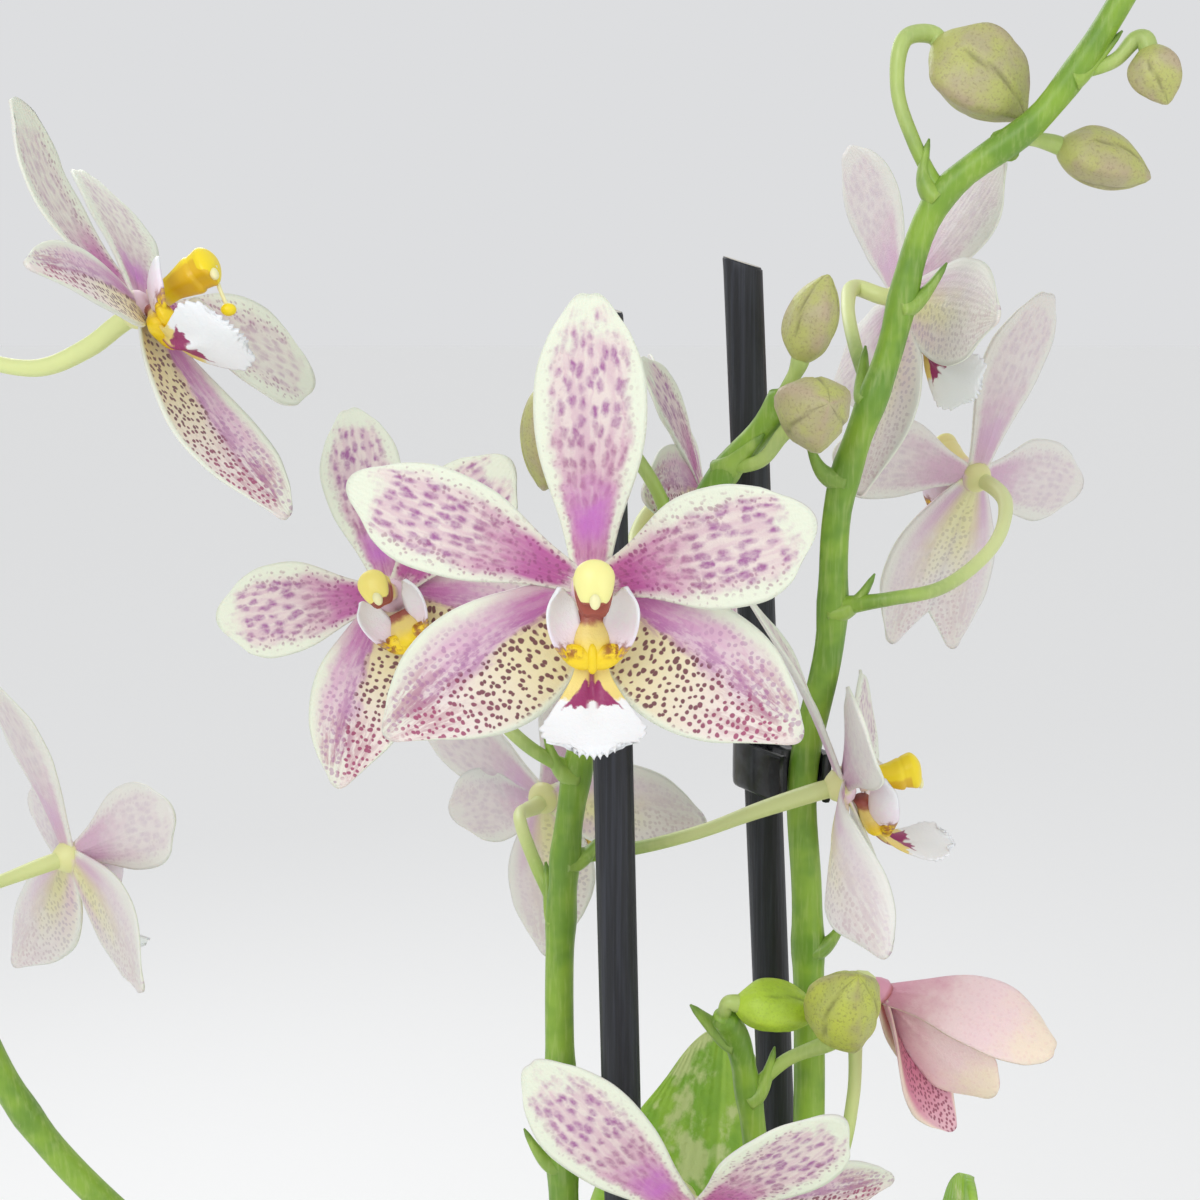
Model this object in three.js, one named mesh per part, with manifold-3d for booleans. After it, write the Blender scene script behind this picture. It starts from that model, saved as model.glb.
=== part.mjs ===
// Moth orchid in a plain ceramic pot, with four flower spikes, two support stakes and a clip.
// Millimetres, +Z up. The origin is the middle of the pot's flat base, and the plant's show side faces -Y.
import * as THREE from "three";
import { mergeVertices } from "three/addons/utils/BufferGeometryUtils.js";
import Module from "manifold-3d";

const wasm = await Module();
wasm.setup();

// Driving dimensions: pot and filling
const POT = { height: 115, baseRadius: 46, topRadius: 60, wall: 4, floor: 6, rimRadius: 64, rimHeight: 16 };
const POT_SIDES = 24;
const BARK = { top: 98, chips: 16, length: 25, width: 17, thickness: 9, seed: 7 };
const GAP = 0.3; // left between pieces that rest on each other
const FINEST = 0.12; // edges finer than this are merged away

// Driving dimensions: crown, roots and leaves
const CROWN = { bottom: 84, top: 124, radius: 9, topRadius: 6.5 };
const ROOT_RADIUS = 2.4;
const LEAF = { halfWidth: 24, thickness: 1.6, keel: 0.16 };

// Driving dimensions: flowers at full size
const DORSAL = { length: 39, width: 15.3 };
const PETAL = { length: 33.5, width: 17 };
const SEPAL = { length: 37, width: 18.8 };
const TEPAL_THICKNESS = 0.8;
const TEPAL_START = 1; // distance of a petal's foot from the flower's middle
const RECEPTACLE = { radius: 3, front: -1.6, back: 2.6 };
const COLUMN = { length: 11, radius: 1.8, capRadius: 2.4, rise: 14, clear: 0.7 };
const LIP = { reach: 21.5, forward: 11, flare: 7 };

// Driving dimensions: stems
const STEM_SIDES = 7;
const STALK_SIDES = 5;
const ROOT_SIDES = 5;
const STALK = { radius: 1.1, ovary: 1.4 };
const BRACT = { length: 8, radius: 2.4 };
const STAKE = { radius: 3.1, bottom: 40 };

// Half widths of an outline, as shares of half its width, at shares of its length from the foot
const OUTLINE = {
  dorsal: { outer: [[0, 0.3], [0.2, 0.52], [0.45, 0.93], [0.7, 1], [0.9, 0.68], [1, 0.2]] },
  petal: {
    outer: [[0, 0.22], [0.2, 0.5], [0.45, 0.97], [0.7, 1], [0.9, 0.7], [1, 0.22]],
    inner: [[0, 0.22], [0.2, 0.42], [0.45, 0.85], [0.7, 1], [0.9, 0.76], [1, 0.22]],
  },
  sepal: {
    outer: [[0, 0.3], [0.2, 0.66], [0.45, 0.98], [0.7, 0.9], [0.9, 0.5], [1, 0.12]],
    inner: [[0, 0.34], [0.2, 0.86], [0.45, 1.08], [0.7, 0.82], [0.9, 0.36], [1, 0.1]],
  },
  leaf: { outer: [[0, 0.2], [0.1, 0.24], [0.2, 0.5], [0.42, 0.92], [0.66, 1], [0.88, 0.66], [1, 0.12]] },
};
const TEPAL_ROWS = [0, 0.2, 0.45, 0.7, 0.9, 1];
const LEAF_ROWS = [0, 0.1, 0.24, 0.42, 0.6, 0.78, 0.92, 1];
const ACROSS = [-1, 0, 1];

// Open flowers: middle, turn to the right, lift of the face, lean of the upper sepal to the right (degrees),
// share of full size, angles of petals and lower sepals from the upper sepal, how far each leans forward, and
// how far the column rises where that isn't as usual.
// A petal or sepal that grew out of line has its own turn, forward lean and twist, and it may bow
// forward at its middle (millimetres) and have a share of the usual breadth.
const BLOOMS = {
  bloom_front: { at: [-16.9, -45, 346.5], yaw: 3, pitch: 0, roll: 0, size: 0.98, spread: [75, 128], lean: [-2, 6, -3], rise: 22,
    own: { rightPetal: [73, 22, 0], leftPetal: [-68, -1, 0, 0, 0.82], rightSepal: [127, 2, 0], leftSepal: [-128, -7, 0] } },
  bloom_left: { at: [-48.2, 2, 335.4], yaw: -6, pitch: 9, roll: -28, size: 0.86, spread: [71, 137], lean: [-20, 0, 3],
    own: { dorsal: [9, -20, 0], rightPetal: [69, 8, 0], rightSepal: [131, -6, 0] } },
  bloom_upper_left: { at: [-79, -30, 382.5], yaw: 83, pitch: 33, roll: 52, size: 0.97, spread: [76, 129], lean: [-5, 10, 3], rise: 0,
    own: { dorsal: [-2, -6, -10], rightPetal: [78, 16, 15], leftPetal: [-60, 6, 0, -4], rightSepal: [140, 6, 25, -3],
      leftSepal: [-129, 5, 10, 0, 0.65] } },
  bloom_edge_left: { at: [-107, 25, 284.5], yaw: 131, pitch: 5, roll: 12, size: 0.88, spread: [76, 129], lean: [-11, 15, -6] },
  bloom_behind: { at: [2, 40, 345.5], yaw: 78, pitch: 15, roll: 45, size: 0.88, spread: [75, 126], lean: [-12, -2, -4] },
  bloom_high_right: { at: [35, 36, 379], yaw: 111, pitch: -11, roll: 46, size: 0.91, spread: [79, 137], lean: [-3, 9, -1] },
  bloom_back_right: { at: [52.5, 58, 345.5], yaw: -150, pitch: 12, roll: -11, size: 0.92, spread: [90, 167], lean: [-3, 8, 0] },
  bloom_side_right: { at: [21.5, -14, 309.2], yaw: 92, pitch: 15, roll: -8, size: 0.89, spread: [74, 116], lean: [-11, 9, -3], rise: 0,
    own: { rightPetal: [85, 20, 0], leftPetal: [-46, 7, 5], rightSepal: [132, 4, 0], leftSepal: [-114, -3, -50, -5] } },
  bloom_back_low: { at: [-25.5, 38, 291], yaw: 160, pitch: 5, roll: 48, size: 0.86, spread: [66, 130], lean: [24, 26, 4],
    own: { dorsal: [30, 26, 0], leftSepal: [-137, -7, 0] } },
  bloom_low_front: { at: [-2, -35, 249], yaw: 12, pitch: -21, roll: -43, size: 0.96, spread: [77, 141], lean: [-10, 15, -10] },
};
const HALF_OPEN = { at: [30, 0, 270], yaw: 92, pitch: -36, roll: -45, size: 0.75, spread: [78, 134], lean: [60, 80, 62],
  own: { dorsal: [0, 60, 0, -3, 1.15], leftPetal: [-78, 80, 0, -2, 1.1], rightPetal: [90, 79, 0, -2], rightSepal: [150, 74, -20, -2],
    leftSepal: [-134, 64, 60, -2] } };

// Closed buds: foot, tip and half width
const BUDS = {
  bud_high_large: { foot: [36.5, 14, 420.5], tip: [49.5, 10, 408.5], radius: 7.4 },
  bud_high_small: { foot: [66, 2, 419], tip: [69, 0, 410.5], radius: 4.2 },
  bud_high_right: { foot: [55, 10, 404.5], tip: [69.5, 10, 399.5], radius: 4.9 },
  bud_tip: { foot: [14.8, -1, 372.3], tip: [18.8, -2, 385.5], radius: 4.4 },
  bud_round: { foot: [15, -3, 364], tip: [18, -14.5, 367.5], radius: 6.2 },
  bud_behind: { foot: [-22.5, 8, 368.5], tip: [-24.5, 8, 351], radius: 5.6 },
  bud_low_left: { foot: [5.5, -13.5, 273.5], tip: [19, -11.5, 271], radius: 4.5 },
  bud_low_round: { foot: [21, -14.5, 268.5], tip: [23.5, -22.5, 281.5], radius: 6.3 },
};

// Flower spikes: the stem's route and end radii, with each flower or bud stalk's height on the stem and route
const SPIKES = {
  spike_right: {
    route: [[4.5, 2.5, 108], [9, 3, 128], [14, 2, 160], [18, 1, 205], [19, 2, 247], [18, 3, 285], [17, 4, 305], [21, 5, 327],
      [22, 5, 350], [29, 6, 372], [36, 6, 396], [51, 4, 409], [62, 2, 426], [69, 1, 442], [72, 0, 456]],
    radii: [3.1, 1.8],
    stalks: [
      { to: "half_open", height: 232, route: [[24, 3, 238], [26.5, 4, 250], [26.5, 3, 262]] },
      { to: "bloom_back_right", height: 333, route: [[30, 1, 335], [38, 4, 336], [48, 16, 340], [54, 36, 344]] },
      { to: "bloom_high_right", height: 366, route: [[25, 14, 373], [25, 26, 379], [27.5, 36, 381]] },
      { to: "bud_high_large", height: 397, route: [[32.5, 8, 405], [30, 10, 413], [31.2, 12, 420.5]] },
      { to: "bud_high_right", height: 405, route: [[50, 8, 405.5]] },
      { to: "bud_high_small", height: 415, route: [[61.5, 3, 417], [64.5, 3, 420]] },
    ],
    bracts: [{ height: 354, towards: [-1, 0, 0.9] }, { height: 381, towards: [1, 0, 0.8] }, { height: 277, towards: [1, -0.3, 0.9] },
      { height: 200, towards: [-0.6, -1, 1] }, { height: 150, towards: [1, -0.6, 1] }],
    tips: [{ height: 428, to: [73, 1, 434], radius: 2.6 }, { height: 444, to: [66, 0, 452], radius: 2.2 }, { height: 454, to: [75, 0, 463], radius: 2 }],
  },
  spike_middle: {
    route: [[-3.5, -3.5, 110], [-5, -3, 132], [-14, -1, 168], [-20, 0, 205], [-22, 0, 251], [-22, 2, 280], [-20, 2, 302], [-16, 4, 319],
      [-8, 6, 334], [3, 6, 353], [10, 3, 362], [13, 0, 368]],
    radii: [2.9, 2],
    stalks: [
      { to: "bloom_low_front", height: 255, route: [[-20.5, -14, 256], [-13, -25, 252.5], [-6, -27.5, 250]] },
      { to: "bloom_back_low", height: 282, route: [[-26, 7, 289], [-29, 16, 294], [-28, 28, 292]] },
      { to: "bloom_side_right", height: 292, route: [[-10, 4, 293], [0, 0, 297], [9, -7.5, 303]] },
      { to: "bloom_left", height: 306, route: [[-27, 1, 311], [-35, 6, 318], [-43, 11, 328]] },
      { to: "bloom_front", height: 322, route: [[-19.6, -5, 329], [-19.8, -14, 336], [-18.5, -30, 343.5]] },
      { to: "bud_behind", height: 341, route: [[-6, 6, 350], [-13, 7, 361], [-18.5, 8, 369.5]] },
      { to: "bloom_behind", height: 340, route: [[-7, 14, 338], [-10, 27, 339], [-6, 38, 343.5]] },
      { to: "bud_round", height: 355, route: [[9.5, 1, 357], [12.5, 0, 361]] },
      { to: "bud_tip", height: 367, route: [] },
    ],
    bracts: [{ height: 240, towards: [-1, -0.2, 0.9] }, { height: 190, towards: [0.8, -0.6, 1] }, { height: 150, towards: [-1, -0.3, 1] }],
    tips: [],
  },
  spike_short: {
    route: [[4, -4, 110], [5.5, -6, 140], [10, -9, 200], [10, -8, 240], [8, -8, 257], [6, -9.5, 266], [3.5, -12.5, 271.5]],
    radii: [2.6, 1.9],
    stalks: [
      { to: "bud_low_round", height: 256, route: [[14, -9, 262]] },
      { to: "bud_low_left", height: 271, route: [] },
    ],
    bracts: [{ height: 215, towards: [-1, -0.4, 1] }, { height: 170, towards: [1, -0.6, 1] }, { height: 266, towards: [-1, 0, 0.7] }],
    tips: [],
  },
  spike_left: {
    route: [[-4, 3, 112], [-13, 8, 133], [-34, 12, 158], [-80, 14, 204], [-113, 8, 246], [-124, 3, 290], [-126, -2, 340],
      [-122, -8, 385], [-116, -12, 410], [-106, -15, 428]],
    radii: [3, 1.6],
    stalks: [
      { to: "bloom_edge_left", height: 284, route: [[-119, 13, 283]] },
      { to: "bloom_upper_left", height: 386, route: [[-112, -20, 378], [-95, -27, 374], [-87, -28.5, 377]] },
    ],
    bracts: [{ height: 190, towards: [0.3, -0.6, 1] }, { height: 330, towards: [-1, 0, 1] }, { height: 245, towards: [-1, 0, 1] }],
    tips: [{ height: 404, to: [-128, -12, 412], radius: 3.4 }, { height: 418, to: [-104, -17, 437], radius: 2.8 },
      { height: 427, to: [-98, -17, 433], radius: 2.2 }],
  },
};

// Support stakes, from the point on the axis at the cut top to one lower down
const STAKES = {
  stake_front: { top: [-15.3, -10, 382.3], low: [-12.2, -10, 255] },
  stake_back: { top: [6.8, 14, 388], low: [14.5, 14, 243.6] },
};
const CLIP = { height: 305, tall: 8, wall: 1.6, arms: 1 }; // arms: how far they reach in front of the stem's axis

// Leaves: the midrib's route from the crown, and the share of full width
const LEAVES = {
  leaf_rear_upright: { route: [[1, 6, 113], [1, 20, 134], [2, 30, 172], [4, 31, 212], [6, 25, 253]], width: 0.96 },
  leaf_right_upright: { route: [[7, 1, 105], [24, -3, 131], [39, -2, 168], [46, 4, 204], [47, 9, 233]], width: 0.9 },
  leaf_left: { route: [[-5, 1, 105], [-26, 3, 117], [-58, 2, 123], [-86, -6, 114], [-104, -12, 99]], width: 1 },
  leaf_front_right: { route: [[5, -4, 103], [26, -18, 117], [54, -35, 124], [78, -50, 115], [92, -58, 100]], width: 1 },
  leaf_front: { route: [[3, -5, 108], [7, -27, 126], [12, -54, 135], [17, -76, 128], [21, -92, 114]], width: 0.94 },
  leaf_left_rear: { route: [[-4, 4, 108], [-22, 22, 127], [-46, 42, 139], [-64, 56, 134], [-78, 67, 121]], width: 0.94 },
};

// Roots that creep over the bark, and one that hangs over the rim: direction in degrees and reach
const ROOTS = [{ turn: 62, reach: 40 }, { turn: 112, reach: 36 }, { turn: 158, reach: 42 }, { turn: 202, reach: 38 },
  { turn: 306, reach: 36 }, { turn: 345, reach: 44 }];
const HANGING_ROOT = { turn: 268, over: 121, out: 70, down: 72 };

// Colours and finishes
const FINISH = {
  pot: new THREE.MeshStandardMaterial({ color: 0xe9e4da, roughness: 0.35, metalness: 0 }),
  bark: new THREE.MeshStandardMaterial({ color: 0x5a3d28, roughness: 0.9, metalness: 0 }),
  crown: new THREE.MeshStandardMaterial({ color: 0x8a9a5a, roughness: 0.6, metalness: 0 }),
  leaf: new THREE.MeshStandardMaterial({ color: 0x6fa82e, roughness: 0.45, metalness: 0 }),
  stem: new THREE.MeshStandardMaterial({ color: 0x8db33a, roughness: 0.5, metalness: 0 }),
  bud: new THREE.MeshStandardMaterial({ color: 0xb5bd6a, roughness: 0.55, metalness: 0 }),
  petal: new THREE.MeshStandardMaterial({ color: 0xe3cfdc, roughness: 0.6, metalness: 0, side: THREE.DoubleSide }),
  halfOpen: new THREE.MeshStandardMaterial({ color: 0xebc3c8, roughness: 0.6, metalness: 0 }),
  lip: new THREE.MeshStandardMaterial({ color: 0xf4f8fa, roughness: 0.5, metalness: 0 }),
  column: new THREE.MeshStandardMaterial({ color: 0xf3ee9a, roughness: 0.5, metalness: 0 }),
  stake: new THREE.MeshStandardMaterial({ color: 0x2b2d38, roughness: 0.5, metalness: 0 }),
  clip: new THREE.MeshStandardMaterial({ color: 0x3a3d42, roughness: 0.3, metalness: 0 }),
};

const point = (p) => new THREE.Vector3(...p);
const radians = THREE.MathUtils.degToRad;

// A repeatable random source between 0 and 1
function seeded(seed) {
  let state = seed;
  return () => {
    state = (state * 16807) % 2147483647;
    return state / 2147483647;
  };
}

// A closed surface as a solid, with its faces turned out
function solidFrom(positions, index) {
  const make = (tris) =>
    new wasm.Manifold(new wasm.Mesh({ numProp: 3, vertProperties: positions, triVerts: tris }));
  const made = make(index);
  if (made.volume() > 0) return made;
  const turned = index.slice();
  for (let i = 0; i < turned.length; i += 3) [turned[i + 1], turned[i + 2]] = [index[i + 2], index[i + 1]];
  return make(turned);
}

function solidOf(geometry) {
  const bare = geometry.clone();
  bare.deleteAttribute("normal");
  bare.deleteAttribute("uv");
  const merged = mergeVertices(bare, 1e-4);
  return solidFrom(new Float32Array(merged.attributes.position.array), new Uint32Array(merged.index.array));
}

// The main body of a cut solid, without loose scraps
const mainBody = (solid) => solid.decompose().reduce((a, b) => (a.volume() > b.volume() ? a : b));

function meshOf(name, solid, material) {
  const data = mainBody(solid.simplify(FINEST)).getMesh();
  const geometry = new THREE.BufferGeometry();
  geometry.setAttribute("position", new THREE.BufferAttribute(new Float32Array(data.vertProperties), 3));
  geometry.setIndex(new THREE.BufferAttribute(new Uint32Array(data.triVerts), 1));
  geometry.computeVertexNormals();
  const mesh = new THREE.Mesh(geometry, material);
  mesh.name = name;
  return mesh;
}

const join = (solids) => solids.reduce((a, b) => a.add(b));

// A closed skin over rings that all have the same number of points
function skin(rings) {
  const sides = rings[0].length;
  const last = (rings.length - 1) * sides;
  const index = [];
  for (let ring = 0; ring + 1 < rings.length; ring++) {
    for (let side = 0; side < sides; side++) {
      const a = ring * sides + side;
      const b = ring * sides + ((side + 1) % sides);
      index.push(a, b, b + sides, a, b + sides, a + sides);
    }
  }
  for (let side = 1; side + 1 < sides; side++) index.push(0, side + 1, side, last, last + side, last + side + 1);
  return solidFrom(new Float32Array(rings.flat().flatMap((p) => p.toArray())), new Uint32Array(index));
}

// A round stem along a route, from one radius to another
function stem(route, fromRadius, toRadius, sides, steps) {
  const curve = new THREE.CatmullRomCurve3(route, false, "centripetal");
  const frames = curve.computeFrenetFrames(steps, false);
  const rings = [];
  for (let step = 0; step <= steps; step++) {
    const share = step / steps;
    const middle = curve.getPointAt(share);
    const radius = fromRadius + (toRadius - fromRadius) * share;
    const ring = [];
    for (let side = 0; side < sides; side++) {
      const turn = (2 * Math.PI * side) / sides;
      const out = frames.normals[step].clone().multiplyScalar(Math.cos(turn) * radius);
      ring.push(out.addScaledVector(frames.binormals[step], Math.sin(turn) * radius).add(middle));
    }
    rings.push(ring);
  }
  return skin(rings);
}

function lathe(profile, sides) {
  return solidOf(new THREE.LatheGeometry(profile.map(([r, y]) => new THREE.Vector2(r, y)), sides));
}

// A solid made along +Y, moved so that its foot is at one point and its axis runs to another
function placedAlong(solid, foot, towards) {
  const turn = new THREE.Quaternion().setFromUnitVectors(new THREE.Vector3(0, 1, 0), towards.clone().normalize());
  const matrix = new THREE.Matrix4().compose(foot, turn, new THREE.Vector3(1, 1, 1));
  return solid.transform(matrix.toArray());
}

const upright = (solid) => solid.transform(new THREE.Matrix4().makeRotationX(Math.PI / 2).toArray());

// Linear reading of an outline at a share of its length
function readOutline(table, share) {
  for (let i = 1; i < table.length; i++) {
    if (share <= table[i][0]) {
      const [from, start] = table[i - 1];
      const [to, end] = table[i];
      return start + ((end - start) * (share - from)) / (to - from);
    }
  }
  return table[table.length - 1][1];
}

// A thin blade: a grid of points with a front and a back, closed along the rim
function blade(rows, pointAt, facing, thickness) {
  const across = ACROSS.length;
  const layer = rows.length * across;
  const front = rows.flatMap((share) => ACROSS.map((side) => pointAt(share, side)));
  const half = facing.clone().multiplyScalar(thickness / 2);
  const points = [...front.map((p) => p.clone().add(half)), ...front.map((p) => p.clone().sub(half))];
  const index = [];
  for (let row = 0; row + 1 < rows.length; row++) {
    for (let side = 0; side + 1 < across; side++) {
      const a = row * across + side;
      const c = a + across;
      index.push(a, a + 1, c + 1, a, c + 1, c);
      index.push(layer + a, layer + c + 1, layer + a + 1, layer + a, layer + c, layer + c + 1);
    }
  }
  const rim = [];
  for (let side = 0; side + 1 < across; side++) rim.push(side);
  for (let row = 0; row + 1 < rows.length; row++) rim.push(row * across + across - 1);
  for (let side = across - 1; side > 0; side--) rim.push((rows.length - 1) * across + side);
  for (let row = rows.length - 1; row > 0; row--) rim.push(row * across);
  rim.forEach((a, i) => {
    const b = rim[(i + 1) % rim.length];
    index.push(b, a, layer + a, b, layer + a, layer + b);
  });
  return solidFrom(new Float32Array(points.flatMap((p) => p.toArray())), new Uint32Array(index));
}

// One petal or sepal in the flower's own frame: it faces -Y, turn is measured from +Z towards +X,
// and the twist grows from the foot to the tip
function tepal([turnDegrees, leanDegrees, twist, bow = 0, breadth = 1], size, { length, width }, outline) {
  const turn = radians(turnDegrees);
  const lean = radians(leanDegrees);
  const along = new THREE.Vector3(Math.sin(turn) * Math.cos(lean), -Math.sin(lean), Math.cos(turn) * Math.cos(lean));
  const lower = turnDegrees < 0 ? -1 : 1;
  const level = new THREE.Vector3(Math.cos(turn), 0, -Math.sin(turn));
  const facing = level.clone().applyAxisAngle(along, radians(twist) / 2).cross(along).normalize();
  const inner = outline.inner ?? outline.outer;
  const pointAt = (share, side) => {
    const table = side * lower > 0 ? inner : outline.outer;
    const half = readOutline(table, share) * side * (width / 2) * size * breadth;
    const bend = 0.05 * length * size * Math.sin(Math.PI * share) - 0.04 * length * size * share * share;
    const cup = 0.1 * Math.abs(side) * Math.abs(half);
    const across = level.clone().applyAxisAngle(along, radians(twist) * share);
    return along
      .clone()
      .multiplyScalar(TEPAL_START + (length * size - TEPAL_START) * share)
      .addScaledVector(across, half)
      .addScaledVector(facing, bend * 0.5 + cup + bow * Math.sin(Math.PI * share));
  };
  return blade(TEPAL_ROWS, pointAt, facing, TEPAL_THICKNESS);
}

// The five petals and sepals on the flower's receptacle
function perianth({ size, spread, lean, own = {} }) {
  const { radius, front, back } = RECEPTACLE;
  const middle = lathe([[0, front], [radius * 0.8, front], [radius, 0], [radius * 0.75, back * 0.6], [1.7, back], [0, back]], 6);
  const [petalTurn, sepalTurn] = spread;
  const [dorsalLean, petalLean, sepalLean] = lean;
  return join([
    middle,
    tepal(own.dorsal ?? [0, dorsalLean, 0], size, DORSAL, OUTLINE.dorsal),
    tepal(own.rightPetal ?? [petalTurn, petalLean, 0], size, PETAL, OUTLINE.petal),
    tepal(own.leftPetal ?? [-petalTurn, petalLean, 0], size, PETAL, OUTLINE.petal),
    tepal(own.rightSepal ?? [sepalTurn, sepalLean, 0], size, SEPAL, OUTLINE.sepal),
    tepal(own.leftSepal ?? [-sepalTurn, sepalLean, 0], size, SEPAL, OUTLINE.sepal),
  ]);
}

// The column, with its round cap, that stands out of the flower's middle
function column({ size, rise = COLUMN.rise }) {
  const { length, radius, capRadius, clear } = COLUMN;
  const start = RECEPTACLE.front - clear;
  const end = start - length * size;
  const body = lathe([[0, end], [capRadius * 0.7, end + 0.5], [capRadius, end + 2], [capRadius * 0.95, end + 4],
    [radius, end + 5.4], [radius, start], [0, start]], 7);
  return body.transform(new THREE.Matrix4().makeRotationX(-radians(rise)).toArray());
}

// The lip: a ridged foot under the column, two upright side lobes and a hanging middle lobe with a broad end
function lip(size) {
  const foot = stem([point([0, -2.1, -2.9]), point([0, -3.2, -6.2]), point([0, -3.8, -11 * size])], 1, 2.1, STALK_SIDES, 2).scale([1.4, 1, 1]);
  const middleRoute = new THREE.CatmullRomCurve3([point([0, -3.6, -9]), point([0, -3.8, -13]), point([0, -6.2, -17]),
    point([0, -LIP.forward, -LIP.reach])].map((p) => p.multiplyScalar(size)));
  const widths = [[0, 0.3], [0.25, 0.32], [0.42, 0.56], [0.58, 0.5], [0.8, 1], [1, 0.66]];
  const middleAt = (share, side) => {
    const place = middleRoute.getPoint(share);
    place.x += side * LIP.flare * size * readOutline(widths, share);
    return place.add(new THREE.Vector3(0, 0.4 * Math.abs(side) * share, 0));
  };
  const middle = blade(widths.map(([share]) => share), middleAt, new THREE.Vector3(0, -0.8, 0.6), 0.8);
  const lobes = [-1, 1].map((hand) => {
    const route = new THREE.CatmullRomCurve3([point([hand * 1.8, -4.6, -8.8]), point([hand * 3.5, -5.4, -4]),
      point([hand * 4.5, -6.6, 1.2])].map((p) => p.multiplyScalar(size)));
    const lobeWidths = [[0, 0.7], [0.35, 1], [0.75, 0.92], [1, 0.4]];
    const across = new THREE.Vector3(0.3 * hand, -0.95, 0);
    const lobeAt = (share, side) =>
      route.getPoint(share).addScaledVector(across, side * 2.8 * size * readOutline(lobeWidths, share));
    return blade(lobeWidths.map(([share]) => share), lobeAt, new THREE.Vector3(0.95 * hand, 0.3, 0.1), 0.8);
  });
  return join([foot, middle, ...lobes]);
}

// The group that carries one flower, turned and placed
function flowerGroup({ at, yaw, pitch, roll }) {
  const group = new THREE.Group();
  group.position.copy(point(at));
  group.rotation.set(-radians(pitch), radians(roll), radians(yaw), "ZXY");
  group.updateMatrixWorld(true);
  return group;
}

function bloom(name, pose) {
  const group = flowerGroup(pose);
  group.add(meshOf(`${name}_petals`, perianth(pose), FINISH.petal));
  group.add(meshOf(`${name}_lip`, lip(pose.size), FINISH.lip));
  group.add(meshOf(`${name}_column`, column(pose), FINISH.column));
  return group;
}

function bud({ foot, tip, radius }) {
  const axis = point(tip).sub(point(foot));
  const length = axis.length();
  const profile = [[0, 0], [0.35, 0.02], [0.8, 0.2], [1, 0.45], [0.86, 0.72], [0.42, 0.94], [0, 1]];
  const body = lathe(profile.map(([r, share]) => [r * radius, share * length]), STEM_SIDES);
  return placedAlong(body, point(foot), axis);
}

// Where a stalk ends, just short of the flower or bud that it carries, and the way it comes in
function stalkEnd(target) {
  if (BUDS[target]) {
    const { foot, tip } = BUDS[target];
    const inward = point(tip).sub(point(foot)).normalize();
    return { end: point(foot).addScaledVector(inward, -GAP), inward };
  }
  const pose = target === "half_open" ? HALF_OPEN : BLOOMS[target];
  const group = flowerGroup(pose);
  const inward = new THREE.Vector3(0, -1, 0).transformDirection(group.matrixWorld);
  const end = new THREE.Vector3(0, RECEPTACLE.back + GAP, 0).applyMatrix4(group.matrixWorld);
  return { end, inward };
}

// The point on a stem's route at a given height
function routeAt(curve, height) {
  const samples = curve.getPoints(400);
  return samples.reduce((best, p) => (Math.abs(p.z - height) < Math.abs(best.z - height) ? p : best));
}

const stemCurve = (route) => new THREE.CatmullRomCurve3(route.map(point), false, "centripetal");

function mainStem({ route, radii }, extra = 0) {
  return stem(route.map(point), radii[0] + extra, radii[1] + extra, STEM_SIDES, Math.round(route.length * 1.4));
}

function bract(foot, towards) {
  const cone = solidOf(new THREE.ConeGeometry(BRACT.radius, BRACT.length, 4).translate(0, BRACT.length / 2, 0));
  return placedAlong(cone, foot, towards);
}

function spike(plan) {
  const curve = stemCurve(plan.route);
  const parts = [mainStem(plan)];
  for (const { to, height, route } of plan.stalks) {
    const { end, inward } = stalkEnd(to);
    const foot = routeAt(curve, height);
    const lead = end.clone().addScaledVector(inward, -2);
    const points = [foot, ...route.map(point), lead, end];
    parts.push(stem(points, STALK.radius, STALK.ovary, STALK_SIDES, 2 * points.length - 3));
    if (route.length > 0) {
      const out = point(route[0]).sub(foot).normalize();
      parts.push(bract(foot, out.add(new THREE.Vector3(0, 0, 0.5))));
    }
  }
  for (const { height, towards } of plan.bracts) parts.push(bract(routeAt(curve, height), point(towards)));
  for (const { height, to, radius } of plan.tips) {
    const foot = routeAt(curve, height);
    const end = point(to);
    parts.push(stem([foot, end], STALK.radius, STALK.radius, STALK_SIDES, 1));
    parts.push(solidOf(new THREE.SphereGeometry(radius, 6, 4)).translate(to));
  }
  return join(parts);
}

// A stake's axis runs on down into the bark
function stakeAxis({ top, low }) {
  const from = point(top);
  const fall = point(low).sub(from);
  return [from, from.clone().addScaledVector(fall, (STAKE.bottom - from.z) / fall.z)];
}

const stake = (plan, extra = 0) =>
  stem(stakeAxis(plan).map((p, i) => (i ? p.add(new THREE.Vector3(0, 0, -extra)) : p)), STAKE.radius + extra,
    STAKE.radius + extra, 12, 1);

function onStake(plan, height) {
  const [top, bottom] = stakeAxis(plan);
  return top.clone().lerp(bottom, (height - top.z) / (bottom.z - top.z));
}

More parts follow.
